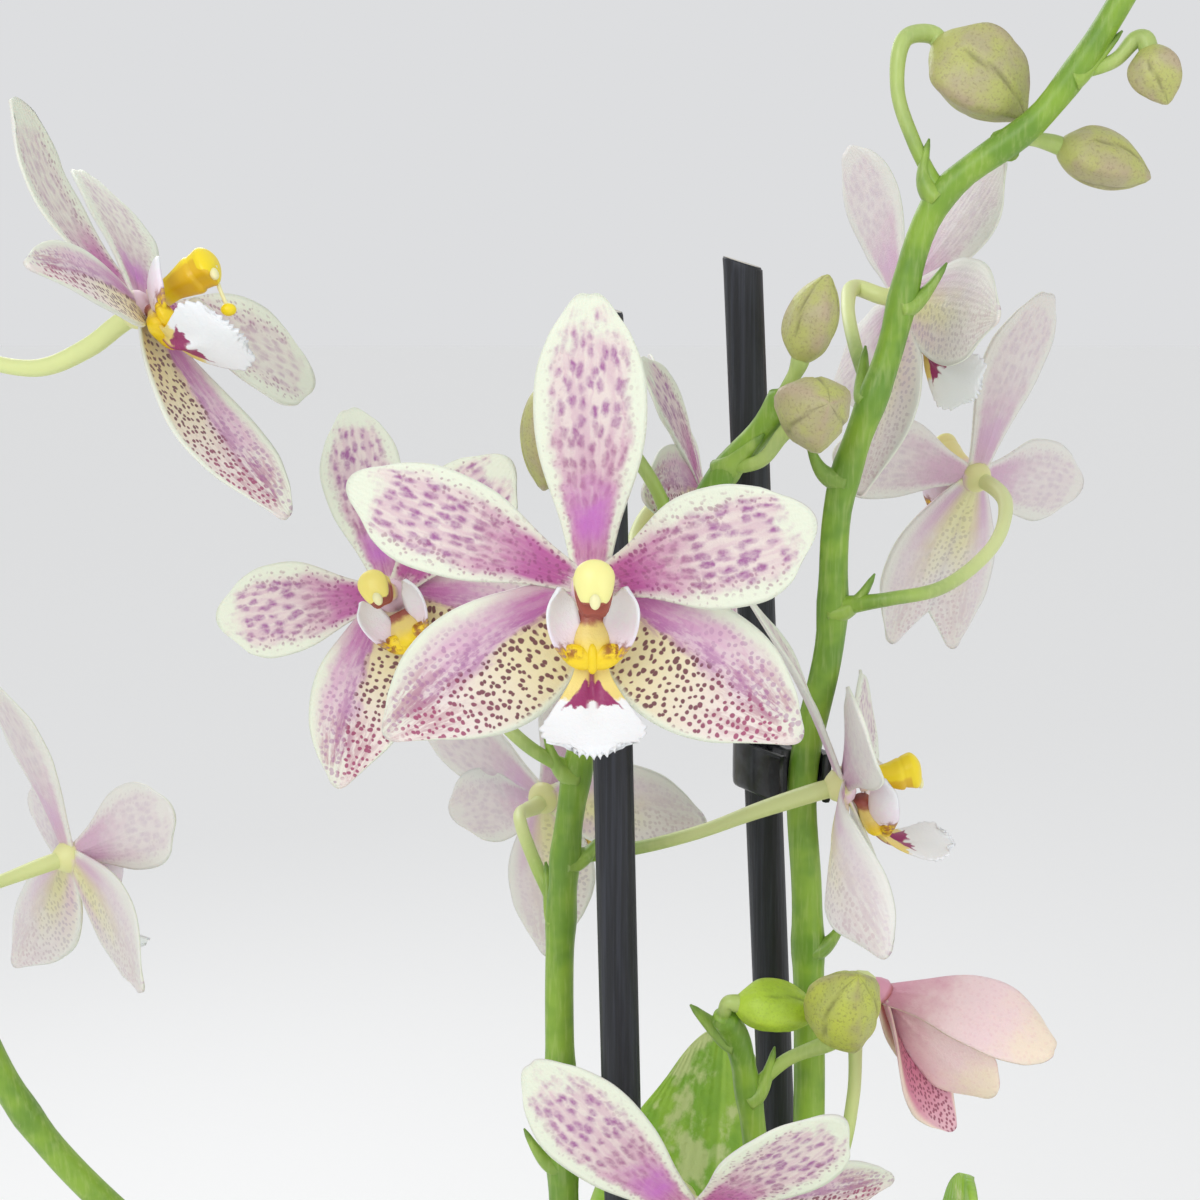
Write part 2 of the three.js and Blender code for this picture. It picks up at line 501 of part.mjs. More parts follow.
// The clip: a flat link that grips the back stake, with an open jaw round the right spike
function clip() {
  const spikePlan = SPIKES.spike_right;
  const onSpike = routeAt(stemCurve(spikePlan.route), CLIP.height);
  const onBack = onStake(STAKES.stake_back, CLIP.height);
  const outer = STAKE.radius + CLIP.wall;
  const turn = Math.atan2(onBack.y - onSpike.y, onBack.x - onSpike.x);
  const outline = new THREE.Shape();
  outline.absarc(onSpike.x, onSpike.y, outer - 0.2, turn + Math.PI / 2, turn + 1.5 * Math.PI, false);
  outline.absarc(onBack.x, onBack.y, outer, turn - Math.PI / 2, turn + Math.PI / 2, false);
  outline.closePath();
  const link = new THREE.ExtrudeGeometry(outline, { depth: CLIP.tall, bevelEnabled: false, curveSegments: 10 });
  link.translate(0, 0, CLIP.height - CLIP.tall / 2);
  const mouth = new THREE.BoxGeometry(4 * outer, 2 * outer, 2 * CLIP.tall);
  mouth.translate(onSpike.x, onSpike.y - CLIP.arms - outer, CLIP.height);
  return [solidOf(mouth), mainStem(spikePlan, GAP), stake(STAKES.stake_back, GAP)].reduce((a, b) => a.subtract(b), solidOf(link));
}

// A leaf along its midrib, folded a little upwards on both sides, cut short where it meets the crown
function leaf({ route, width }) {
  const curve = stemCurve(route);
  const chord = curve.getPoint(1).sub(curve.getPoint(0));
  const outward = new THREE.Vector3(chord.x, chord.y, 0).normalize();
  const across = new THREE.Vector3(-outward.y, outward.x, 0);
  const facing = across.clone().cross(chord).normalize();
  if (facing.z < 0) facing.negate();
  const pointAt = (share, side) => {
    const half = LEAF.halfWidth * width * readOutline(OUTLINE.leaf.outer, share) * side;
    return curve.getPointAt(share).addScaledVector(across, half).addScaledVector(facing, LEAF.keel * Math.abs(half));
  };
  return blade(LEAF_ROWS, pointAt, facing, LEAF.thickness).subtract(crownBody(GAP));
}

function crownBody(extra = 0) {
  const { bottom, top, radius, topRadius } = CROWN;
  return upright(lathe([[0, bottom - extra], [radius * 0.7 + extra, bottom - extra], [radius + extra, bottom + 14],
    [radius + extra, top - 14], [topRadius + extra, top - 2], [topRadius * 0.5 + extra, top + extra], [0, top + extra]], 10));
}

// Roots that leave the crown above the bark and dive back into it
function roots(extra = 0) {
  const radius = ROOT_RADIUS + extra;
  const creeping = ROOTS.map(({ turn, reach }) => {
    const side = new THREE.Vector3(Math.cos(radians(turn)), Math.sin(radians(turn)), 0);
    const at = (share, z) => side.clone().multiplyScalar(reach * share).add(new THREE.Vector3(0, 0, z));
    return stem([at(0.05, 97), at(0.4, 103.5), at(0.75, 101.5), at(0.97, 92), at(1, 84 - extra)], radius, radius * 0.85, ROOT_SIDES, 5);
  });
  const { turn, over, out, down } = HANGING_ROOT;
  const side = new THREE.Vector3(Math.cos(radians(turn)), Math.sin(radians(turn)), 0);
  const at = (reach, z) => side.clone().multiplyScalar(reach).add(new THREE.Vector3(0, 0, z));
  const route = [at(2, 96), at(26, 108), at(50, over - 3), at(out - 8, over - 1), at(out, over - 16), at(out, down)];
  return join([...creeping, stem(route, radius, radius * 0.9, ROOT_SIDES, 9)]);
}

const potOuter = (z) => POT.baseRadius + ((POT.topRadius - POT.baseRadius) * z) / POT.height;

function pot() {
  const { height, baseRadius, wall, floor, rimRadius, rimHeight } = POT;
  const rimFoot = height - rimHeight;
  return upright(lathe([[0, 0], [baseRadius - 1.5, 0], [baseRadius, 1.5], [potOuter(rimFoot), rimFoot], [rimRadius - 0.8, rimFoot + 1],
    [rimRadius, rimFoot + 3], [rimRadius, height - 2], [rimRadius - 1.5, height], [potOuter(height) - wall, height],
    [potOuter(floor) - wall, floor], [0, floor]], POT_SIDES));
}

// The bark: a filling with rough chips over its top, kept clear of the pot, the crown, the roots and the stakes
function bark() {
  const random = seeded(BARK.seed);
  const inside = (z) => potOuter(z) - POT.wall - GAP;
  const filling = upright(lathe([[0, POT.floor + GAP], [inside(POT.floor), POT.floor + GAP], [inside(BARK.top), BARK.top],
    [0, BARK.top]], POT_SIDES));
  const limit = upright(lathe([[0, BARK.top - 8], [inside(BARK.top - 8), BARK.top - 8], [inside(POT.height - 4), POT.height - 4],
    [0, POT.height - 4]], POT_SIDES));
  const chips = [];
  for (let i = 0; i < BARK.chips; i++) {
    const grow = 0.75 + 0.5 * random();
    const chip = new THREE.BoxGeometry(BARK.length * grow, BARK.width * grow, BARK.thickness * grow);
    chip.rotateX(0.7 * (random() - 0.5));
    chip.rotateY(0.7 * (random() - 0.5));
    chip.rotateZ(2 * Math.PI * random());
    const out = Math.sqrt((i + 0.5) / BARK.chips) * inside(BARK.top);
    const turn = i * 2.399963;
    chip.translate(out * Math.cos(turn), out * Math.sin(turn), BARK.top + 1.5 * random());
    chips.push(solidOf(chip));
  }
  return join([filling, join(chips).intersect(limit)])
    .subtract(crownBody(GAP))
    .subtract(roots(GAP))
    .subtract(stake(STAKES.stake_front, GAP))
    .subtract(stake(STAKES.stake_back, GAP));
}

// The crown keeps a plain hole round the foot of each spike
function crownAndRoots() {
  return Object.values(SPIKES).reduce((body, plan) => body.subtract(mainStem(plan, GAP)), join([crownBody(), roots()]));
}

const orchid = new THREE.Group();
orchid.add(meshOf("pot", pot(), FINISH.pot));
orchid.add(meshOf("potting_bark", bark(), FINISH.bark));
orchid.add(meshOf("crown_and_roots", crownAndRoots(), FINISH.crown));
for (const [name, plan] of Object.entries(LEAVES)) orchid.add(meshOf(name, leaf(plan), FINISH.leaf));
for (const [name, plan] of Object.entries(SPIKES)) orchid.add(meshOf(name, spike(plan), FINISH.stem));
for (const [name, plan] of Object.entries(STAKES)) orchid.add(meshOf(name, stake(plan), FINISH.stake));
orchid.add(meshOf("stake_clip", clip(), FINISH.clip));
for (const [name, plan] of Object.entries(BUDS)) orchid.add(meshOf(name, bud(plan), FINISH.bud));
for (const [name, pose] of Object.entries(BLOOMS)) orchid.add(bloom(name, pose));
const halfOpen = flowerGroup(HALF_OPEN);
halfOpen.add(meshOf("bloom_half_open", perianth(HALF_OPEN), FINISH.halfOpen));
orchid.add(halfOpen);

export default orchid;
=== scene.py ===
"""Dresses the potted moth orchid: pot, bark, leaves, flower spikes, buds, stakes and open flowers.

Lengths are in millimetres until a mesh is made. +Z is up and the show side faces -Y.
"""

from __future__ import annotations

import logging
import math
from dataclasses import dataclass, field
from enum import Enum
from functools import partial
from types import SimpleNamespace
from typing import Callable, ClassVar

import bpy
from mathutils import Matrix, Vector, noise

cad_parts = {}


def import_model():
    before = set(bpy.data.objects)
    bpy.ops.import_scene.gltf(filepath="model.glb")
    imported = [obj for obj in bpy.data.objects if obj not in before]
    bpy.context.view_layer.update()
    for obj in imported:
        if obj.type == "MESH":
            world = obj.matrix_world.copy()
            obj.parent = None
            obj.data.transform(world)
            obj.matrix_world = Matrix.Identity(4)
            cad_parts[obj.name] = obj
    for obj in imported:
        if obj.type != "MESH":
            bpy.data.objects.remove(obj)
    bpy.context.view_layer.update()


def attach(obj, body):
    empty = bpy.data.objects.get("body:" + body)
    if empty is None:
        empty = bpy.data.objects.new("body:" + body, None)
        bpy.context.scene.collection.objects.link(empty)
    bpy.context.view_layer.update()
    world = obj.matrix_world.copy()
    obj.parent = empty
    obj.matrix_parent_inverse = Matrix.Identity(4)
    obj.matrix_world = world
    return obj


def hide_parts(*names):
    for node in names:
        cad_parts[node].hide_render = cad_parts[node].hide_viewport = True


LOG = logging.getLogger("orchid")
MM = 0.001
BODY = "root"
Point = tuple[float, float, float]
Socket = bpy.types.NodeSocket
Look = tuple[Socket, Socket]
Thing = bpy.types.Object
Reads = SimpleNamespace
Table = list[tuple[float, float]]
Numbers = dict[str, float]


# Slots, and the kinds of blade and lip part


class Slot(Enum):
    """The record's material slots."""

    POT = "glazed_pot"
    BARK = "bark_chips"
    CROWN = "crown"
    LEAF = "leaf"
    STEM = "stem"
    STAKE = "stake"
    CLIP = "clip"
    BUD = "bud"
    PETAL = "petal"
    PINK = "pink_petal"
    LIP = "lip"
    COLUMN = "column"


class Blade(Enum):
    """The three kinds of blade round a flower, numbered for the petals' finish."""

    DORSAL = 0
    PETAL = 1
    SEPAL = 2


class LipPart(Enum):
    """The parts of a lip, numbered for its finish."""

    CALLUS = 0
    SIDE_LOBE = 1
    MIDDLE_LOBE = 2


# Small maths


def linear(hex_colour: str) -> tuple[float, float, float, float]:
    """Turn an sRGB hex colour to linear light.

    Args:
        hex_colour: a colour such as "#EDF0DC".

    Returns:
        Red, green, blue and 1.
    """
    parts = [int(hex_colour[i : i + 2], 16) / 255 for i in (1, 3, 5)]
    red, green, blue = (c / 12.92 if c <= 0.04045 else ((c + 0.055) / 1.055) ** 2.4 for c in parts)
    return red, green, blue, 1.0


def ease(low: float, high: float, value: float) -> float:
    """Ease from 0 at low to 1 at high."""
    share = min(1.0, max(0.0, (value - low) / (high - low)))
    return share * share * (3 - 2 * share)


def hump(value: float, width: float) -> float:
    """A bell that is 1 at 0 and falls away over a width."""
    return math.exp(-((value / width) ** 2))


def read(table: Table, share: float) -> float:
    """Read a table of (share, value) with a smooth line through its points.

    Args:
        table: rows in rising order of share.
        share: where to read.

    Returns:
        The value there.
    """
    last = len(table) - 1
    i = next((k for k in range(1, last + 1) if share <= table[k][0]), last)
    (x0, y0), (x1, y1) = table[i - 1], table[i]
    before, after = table[max(0, i - 2)], table[min(last, i + 1)]
    slope0 = (y1 - before[1]) / (x1 - before[0])
    slope1 = (after[1] - y0) / (after[0] - x0)
    step = x1 - x0
    t = min(1.0, max(0.0, (share - x0) / step))
    bend = t * t * (3 - 2 * t)
    return y0 * (1 - bend) + y1 * bend + step * slope0 * t * (1 - t) ** 2 - step * slope1 * t * t * (1 - t)


def rough(place: Vector, scale: float = 1.0) -> float:
    """Smooth noise between about -1 and 1 at a place, with features of about 1 / scale."""
    return noise.noise(place * scale)


def angles(count: int) -> list[float]:
    """The turns of points spaced evenly round a ring."""
    return [2 * math.pi * j / count for j in range(count)]


def circle(radius: float, height: float, sides: int) -> list[Vector]:
    """A level ring round +Z."""
    return [Vector((radius * math.cos(t), radius * math.sin(t), height)) for t in angles(sides)]


def route_points(corners: list[Point] | list[Vector], count: int) -> list[Vector]:
    """Run a centripetal spline through corners and space points evenly on it.

    Args:
        corners: the points that the spline passes through.
        count: how many points to return.

    Returns:
        The points, first and last corner included.
    """
    knots = [Vector(c) for c in corners]
    if len(knots) == 2:
        return [knots[0].lerp(knots[1], i / (count - 1)) for i in range(count)]
    knots = [2 * knots[0] - knots[1], *knots, 2 * knots[-1] - knots[-2]]
    dense: list[Vector] = []
    per_span = 24
    for a, b, c, d in zip(knots, knots[1:], knots[2:], knots[3:]):
        first, middle, last = (max(1e-4, (q - p).length ** 0.5) for p, q in ((a, b), (b, c), (c, d)))
        leave = ((b - a) / first - (c - a) / (first + middle) + (c - b) / middle) * middle
        arrive = ((c - b) / middle - (d - b) / (middle + last) + (d - c) / last) * middle
        for step in range(per_span):
            t = step / per_span
            dense.append(b * (2 * t**3 - 3 * t * t + 1) + leave * (t**3 - 2 * t * t + t)
                         + c * (3 * t * t - 2 * t**3) + arrive * (t**3 - t * t))
    dense.append(knots[-2])
    reach = [0.0]
    for p, q in zip(dense, dense[1:]):
        reach.append(reach[-1] + (q - p).length)
    points: list[Vector] = []
    at = 0
    for i in range(count):
        want = reach[-1] * i / (count - 1)
        while at + 2 < len(dense) and reach[at + 1] < want:
            at += 1
        span = max(1e-9, reach[at + 1] - reach[at])
        points.append(dense[at].lerp(dense[at + 1], min(1.0, (want - reach[at]) / span)))
    return points


def spot_on(route: list[Vector], share: float) -> tuple[Vector, Vector]:
    """Find a place on a route of evenly spaced points.

    Args:
        route: the points.
        share: how far along, from 0 to 1.

    Returns:
        The place, and the unit vector along the route there.
    """
    at = share * (len(route) - 1)
    base = min(len(route) - 2, max(0, int(at)))
    start, end = route[base], route[base + 1]
    return start.lerp(end, at - base), (end - start).normalized()


def height_on(points: list[Vector], height: float) -> Vector:
    """The point of a route that is nearest to a height."""
    return min(points, key=lambda p: abs(p.z - height)).copy()


def stood_on(middle: Vector | Point, axis: Vector) -> Matrix:
    """The move that brings +Z to an axis and the origin to a place."""
    turn = Vector((0, 0, 1)).rotation_difference(axis).to_matrix().to_4x4()
    return Matrix.Translation(middle) @ turn


def show(thing: Thing) -> Thing:
    """Link an object to the scene, and return it."""
    bpy.context.scene.collection.objects.link(thing)
    return thing


# Meshes


@dataclass
class Surface:
    """A surface in millimetres, with named numbers for each point that its finish reads."""

    points: list[Vector] = field(default_factory=list)
    faces: list[tuple[int, ...]] = field(default_factory=list)
    edges: list[tuple[int, int]] = field(default_factory=list)
    values: dict[str, list[float]] = field(default_factory=dict)

    def point(self, place: Vector, **values: float) -> int:
        """Add a point.

        Args:
            place: where it is.
            **values: its named numbers.

        Returns:
            Its index.
        """
        count = len(self.points)
        for name, value in values.items():
            column = self.values.setdefault(name, [])
            column.extend([0.0] * (count - len(column)))
            column.append(value)
        self.points.append(place)
        return count

    def join(self, other: Surface) -> Surface:
        """Add the points and faces of another surface to this one.

        Args:
            other: the surface that is copied in.

        Returns:
            This surface.
        """
        count = len(self.points)
        for name in {*self.values, *other.values}:
            column = self.values.setdefault(name, [])
            column.extend([0.0] * (count - len(column)))
            column.extend(other.values.get(name, []))
            column.extend([0.0] * (count + len(other.points) - len(column)))
        self.points.extend(p.copy() for p in other.points)
        self.faces.extend(tuple(i + count for i in face) for face in other.faces)
        return self

    def moved(self, matrix: Matrix) -> Surface:
        """Move every point by a matrix, and return this surface."""
        self.points = [matrix @ p for p in self.points]
        return self

    def outward(self) -> Surface:
        """Turn the faces of this closed surface out if they point in.

        Returns:
            This surface.
        """
        volume = 0.0
        for face in self.faces:
            a = self.points[face[0]]
            for i in range(1, len(face) - 1):
                volume += a.dot(self.points[face[i]].cross(self.points[face[i + 1]]))
        if volume < 0:
            self.faces = [tuple(reversed(face)) for face in self.faces]
        return self

    def mesh_object(self, name: str) -> Thing:
        """Make a smooth-shaded Blender object in metres.

        Args:
            name: the object's and the mesh's name.

        Returns:
            The object, linked to the scene.
        """
        mesh = bpy.data.meshes.new(name)
        mesh.from_pydata([p * MM for p in self.points], self.edges, self.faces)
        mesh.polygons.foreach_set("use_smooth", [True] * len(mesh.polygons))
        for key, column in self.values.items():
            column = column + [0.0] * (len(self.points) - len(column))
            mesh.attributes.new(key, "FLOAT", "POINT").data.foreach_set("value", column)
        return show(bpy.data.objects.new(name, mesh))


Values = Callable[[float, float], Numbers]
Spot = tuple[Vector, Vector, float, Numbers]


def sheet(rows: int, columns: int, rule: Callable[[float, float], Spot]) -> Surface:
    """Make a thin closed blade from a rule.

    Args:
        rows: steps from the foot to the tip.
        columns: steps from one margin to the other.
        rule: gives the middle point, the way it faces, the thickness and the named numbers
            at a share of the length and at a side from -1 to 1.

    Returns:
        The blade, whose back has the value back = 1.
    """
    made = Surface()
    fronts: list[int] = []
    backs: list[int] = []
    for row in range(rows + 1):
        for column in range(columns + 1):
            share, side = row / rows, 2 * column / columns - 1
            middle, facing, thick, known = rule(share, side)
            fronts.append(made.point(middle + facing * (thick / 2), back=0.0, **known))
            backs.append(made.point(middle - facing * (thick / 2), back=1.0, **known))
    width = columns + 1
    for row in range(rows):
        for column in range(columns):
            a = row * width + column
            c = a + width
            made.faces.append((fronts[a], fronts[a + 1], fronts[c + 1], fronts[c]))
            made.faces.append((backs[a], backs[c], backs[c + 1], backs[a + 1]))
    rim = list(range(columns))
    rim += [row * width + columns for row in range(rows)]
    rim += [rows * width + column for column in range(columns, 0, -1)]
    rim += [row * width for row in range(rows, 0, -1)]
    for a, b in zip(rim, rim[1:] + rim[:1]):
        made.faces.append((fronts[a], backs[a], backs[b], fronts[b]))
    return made.outward()


def loft(rings: list[list[Vector]], values: Values) -> Surface:
    """Skin a row of rings that have the same number of points, and close both ends.

    Args:
        rings: the rings, from one end to the other.
        values: gives the named numbers at a share of the length and of the turn.

    Returns:
        The closed surface.
    """
    made = Surface()
    sides = len(rings[0])
    for i, ring in enumerate(rings):
        for j, p in enumerate(ring):
            made.point(p, **values(i / (len(rings) - 1), j / sides))
    for i in range(len(rings) - 1):
        for j in range(sides):
            a, b = i * sides + j, i * sides + (j + 1) % sides
            made.faces.append((a, b, b + sides, a + sides))
    for start, share in ((0, 0.0), (len(made.points) - sides, 1.0)):
        ring = range(start, start + sides)
        middle = made.point(sum((made.points[j] for j in ring), Vector()) / sides, **values(share, 0.0))
        for j in range(sides):
            a, b = start + j, start + (j + 1) % sides
            made.faces.append((middle, b, a) if share == 0 else (middle, a, b))
    return made.outward()


def turned(profile: Table, sides: int, **values: float) -> Surface:
    """Turn a profile of (radius, height) round +Z into a closed surface with the same numbers all over."""
    rings = [circle(radius, height, sides) for radius, height in profile]
    return loft(rings, lambda share, turn: dict(values))


def ball(middle: Point, radii: Point, **values: float) -> Surface:
    """Make an ellipsoid.

    Args:
        middle: its middle.
        radii: its radii along x, y and z.
        **values: the same named numbers for every point.

    Returns:
        The closed surface.
    """
    steps = 9
    slopes = [math.pi * i / steps for i in range(steps + 1)]
    profile = [(max(0.02, math.sin(t)), -math.cos(t)) for t in slopes]
    return turned(profile, 16, **values).moved(Matrix.Translation(middle) @ Matrix.Diagonal((*radii, 1)))


# Node trees


@dataclass(frozen=True)
class Kind:
    """A kind of node: Blender's name, its inputs in the order given, its output and what stays the same."""

    name: str
    inputs: tuple[int | str, ...] = ()
    out: int = 0
    settings: dict[str, str] = field(default_factory=dict)
    usual: dict[int | str, float] = field(default_factory=dict)
    operation: str = ""


class Op(Enum):
    """The nodes that the finishes and the Geometry Nodes trees are made of."""

    ADD = Kind("ShaderNodeMath", (0, 1), operation="ADD")
    MINUS = Kind("ShaderNodeMath", (0, 1), operation="SUBTRACT")
    TIMES = Kind("ShaderNodeMath", (0, 1), operation="MULTIPLY")
    TIMES_ADD = Kind("ShaderNodeMath", (0, 1, 2), operation="MULTIPLY_ADD")
    MAXIMUM = Kind("ShaderNodeMath", (0, 1), operation="MAXIMUM")
    ABSOLUTE = Kind("ShaderNodeMath", (0,), operation="ABSOLUTE")
    COSINE = Kind("ShaderNodeMath", (0,), operation="COSINE")
    EASE = Kind("ShaderNodeMapRange", (0, 1, 2, 3, 4), settings={"interpolation_type": "SMOOTHSTEP"})
    FALL = Kind("ShaderNodeMapRange", (0, 1, 2), 0, {"interpolation_type": "SMOOTHSTEP"}, {3: 1.0, 4: 0.0})
    MIX = Kind("ShaderNodeMix", (0, 6, 7), 2, {"data_type": "RGBA"})
    VALUE = Kind("ShaderNodeAttribute", out=2)
    VECTOR = Kind("ShaderNodeCombineXYZ", (0, 1, 2))
    CLOUD = Kind("ShaderNodeTexNoise", ("Vector", "Scale", "Detail", "Roughness"),
                 usual={"Detail": 3.0, "Roughness": 0.55})
    CELLS = Kind("ShaderNodeTexVoronoi", ("Vector", "Randomness"), settings={"voronoi_dimensions": "2D"},
                 usual={"Scale": 1.0})
    OBJECT_PLACE = Kind("ShaderNodeTexCoord", out=3)
    SCALE = Kind("ShaderNodeVectorMath", (0, 3), operation="SCALE")
    LESS = Kind("ShaderNodeVectorMath", (0, 1), operation="SUBTRACT")
    STRETCH = Kind("ShaderNodeMapping", ("Vector", "Scale"))
    BUMP = Kind("ShaderNodeBump", ("Height", "Distance"), usual={"Strength": 1.0})
    TO_CURVE = Kind("GeometryNodeMeshToCurve", ("Mesh",))
    RING = Kind("GeometryNodeCurvePrimitiveCircle", ("Resolution", "Radius"))
    NAMED = Kind("GeometryNodeInputNamedAttribute", ("Name",))
    SWEEP = Kind("GeometryNodeCurveToMesh", ("Curve", "Profile Curve", "Scale"), usual={"Fill Caps": True})
    SMOOTH = Kind("GeometryNodeSetShadeSmooth", ("Geometry",), usual={"Shade Smooth": True})
    SCATTER = Kind("GeometryNodeDistributePointsOnFaces", ("Mesh", "Distance Min", "Density Max", "Seed"),
                   settings={"distribute_method": "POISSON"})
    BLOCK = Kind("GeometryNodeMeshCube", ("Size", "Vertices X", "Vertices Y", "Vertices Z"))
    RANDOM_VECTOR = Kind("FunctionNodeRandomValue", (0, 1, "Seed"), settings={"data_type": "FLOAT_VECTOR"})
    RANDOM = Kind("FunctionNodeRandomValue", (2, 3, "Seed"), 1)
    LAY = Kind("GeometryNodeInstanceOnPoints", ("Points", "Instance", "Rotation", "Scale"))
    STORE = Kind("GeometryNodeStoreNamedAttribute", ("Geometry", "Name", "Value"),
                 settings={"domain": "INSTANCE"})
    PLACE = Kind("GeometryNodeInputPosition")
    SHIFT = Kind("GeometryNodeSetPosition", ("Geometry", "Offset"))
    REALIZE = Kind("GeometryNodeRealizeInstances", ("Geometry",))
    SET_MATERIAL = Kind("GeometryNodeSetMaterial", ("Geometry", "Material"))


def add(tree: bpy.types.NodeTree, node: Op, *given: Socket | float | str | Point,
        out: int | None = None, **settings: str) -> Socket:
    """Add a node with its settings and links.

    Args:
        tree: the tree that gets the node.
        node: which node.
        *given: its inputs in order: sockets, values, or hex colours such as "#EDF0DC".
        out: the number of the output to return, where it isn't the usual one.
        **settings: more of the node's own properties.

    Returns:
        The output socket.
    """
    kind = node.value
    made = tree.nodes.new(kind.name)
    if kind.operation:
        made.operation = kind.operation
    for key, value in {**kind.settings, **settings}.items():
        setattr(made, key, value)
    for key, value in {**kind.usual, **dict(zip(kind.inputs, given))}.items():
        if isinstance(value, bpy.types.NodeSocket):
            tree.links.new(value, made.inputs[key])
        else:
            colour = isinstance(value, str) and value.startswith("#")
            made.inputs[key].default_value = linear(value) if colour else value
    return made.outputs[kind.out if out is None else out]


Adder = Callable[..., Socket]


def own_place(n: Adder) -> Socket:
    """The object's own coordinates, in millimetres."""
    return n(Op.SCALE, n(Op.OBJECT_PLACE), 1 / MM)


@dataclass(frozen=True)
class Finish:
    """What every finish shares: its shader's fixed numbers, and how a material is made of it.

    reads names the numbers of the surface's points that its nodes read.
    """

    title: str
    slot: Slot
    roughness: float = 0.5
    specular: float = 0.5
    subsurface: float = 0.0
    coat: float = 0.0
    sheen: float = 0.0
    relief: float = 0.1
    reads: str = ""

    def colour(self, n: Adder, v: Reads) -> Look:
        """Build the nodes of the colour and the relief; each finish has its own.

        Args:
            n: adds a node to the material's tree.
            v: the sockets of the numbers that the finish reads.

        Returns:
            The colour and the height of the relief.
        """
        raise NotImplementedError

    def material(self) -> bpy.types.Material:
        """Make the material once, and give the same one after that.

        Returns:
            The material.
        """
        known = bpy.data.materials.get(self.title)
        if known:
            return known
        made = bpy.data.materials.new(self.title)
        made.use_nodes = True
        tree = made.node_tree
        n = partial(add, tree)
        v = Reads(**{name: n(Op.VALUE, attribute_name=name) for name in self.reads.split()})
        colour, height = self.colour(n, v)
        shader = next(node for node in tree.nodes if node.type == "BSDF_PRINCIPLED")
        tree.links.new(colour, shader.inputs["Base Color"])
        tree.links.new(n(Op.BUMP, height, self.relief * MM), shader.inputs["Normal"])
        numbers = {
            "Roughness": self.roughness, "Specular IOR Level": self.specular, "Sheen Weight": self.sheen,
            "Coat Weight": self.coat, "Coat Roughness": 0.25, "Subsurface Weight": self.subsurface,
            "Subsurface Radius": (1.0, 0.7, 0.6), "Subsurface Scale": 1.2 * MM,
        }
        for name, number in numbers.items():
            shader.inputs[name].default_value = number
        return made

    def dress(self, thing: Thing) -> Thing:
        """Give an object this finish.

        Args:
            thing: the object.

        Returns:
            The same object.
        """
        thing.data.materials.clear()
        thing.data.materials.append(self.material())
        return thing


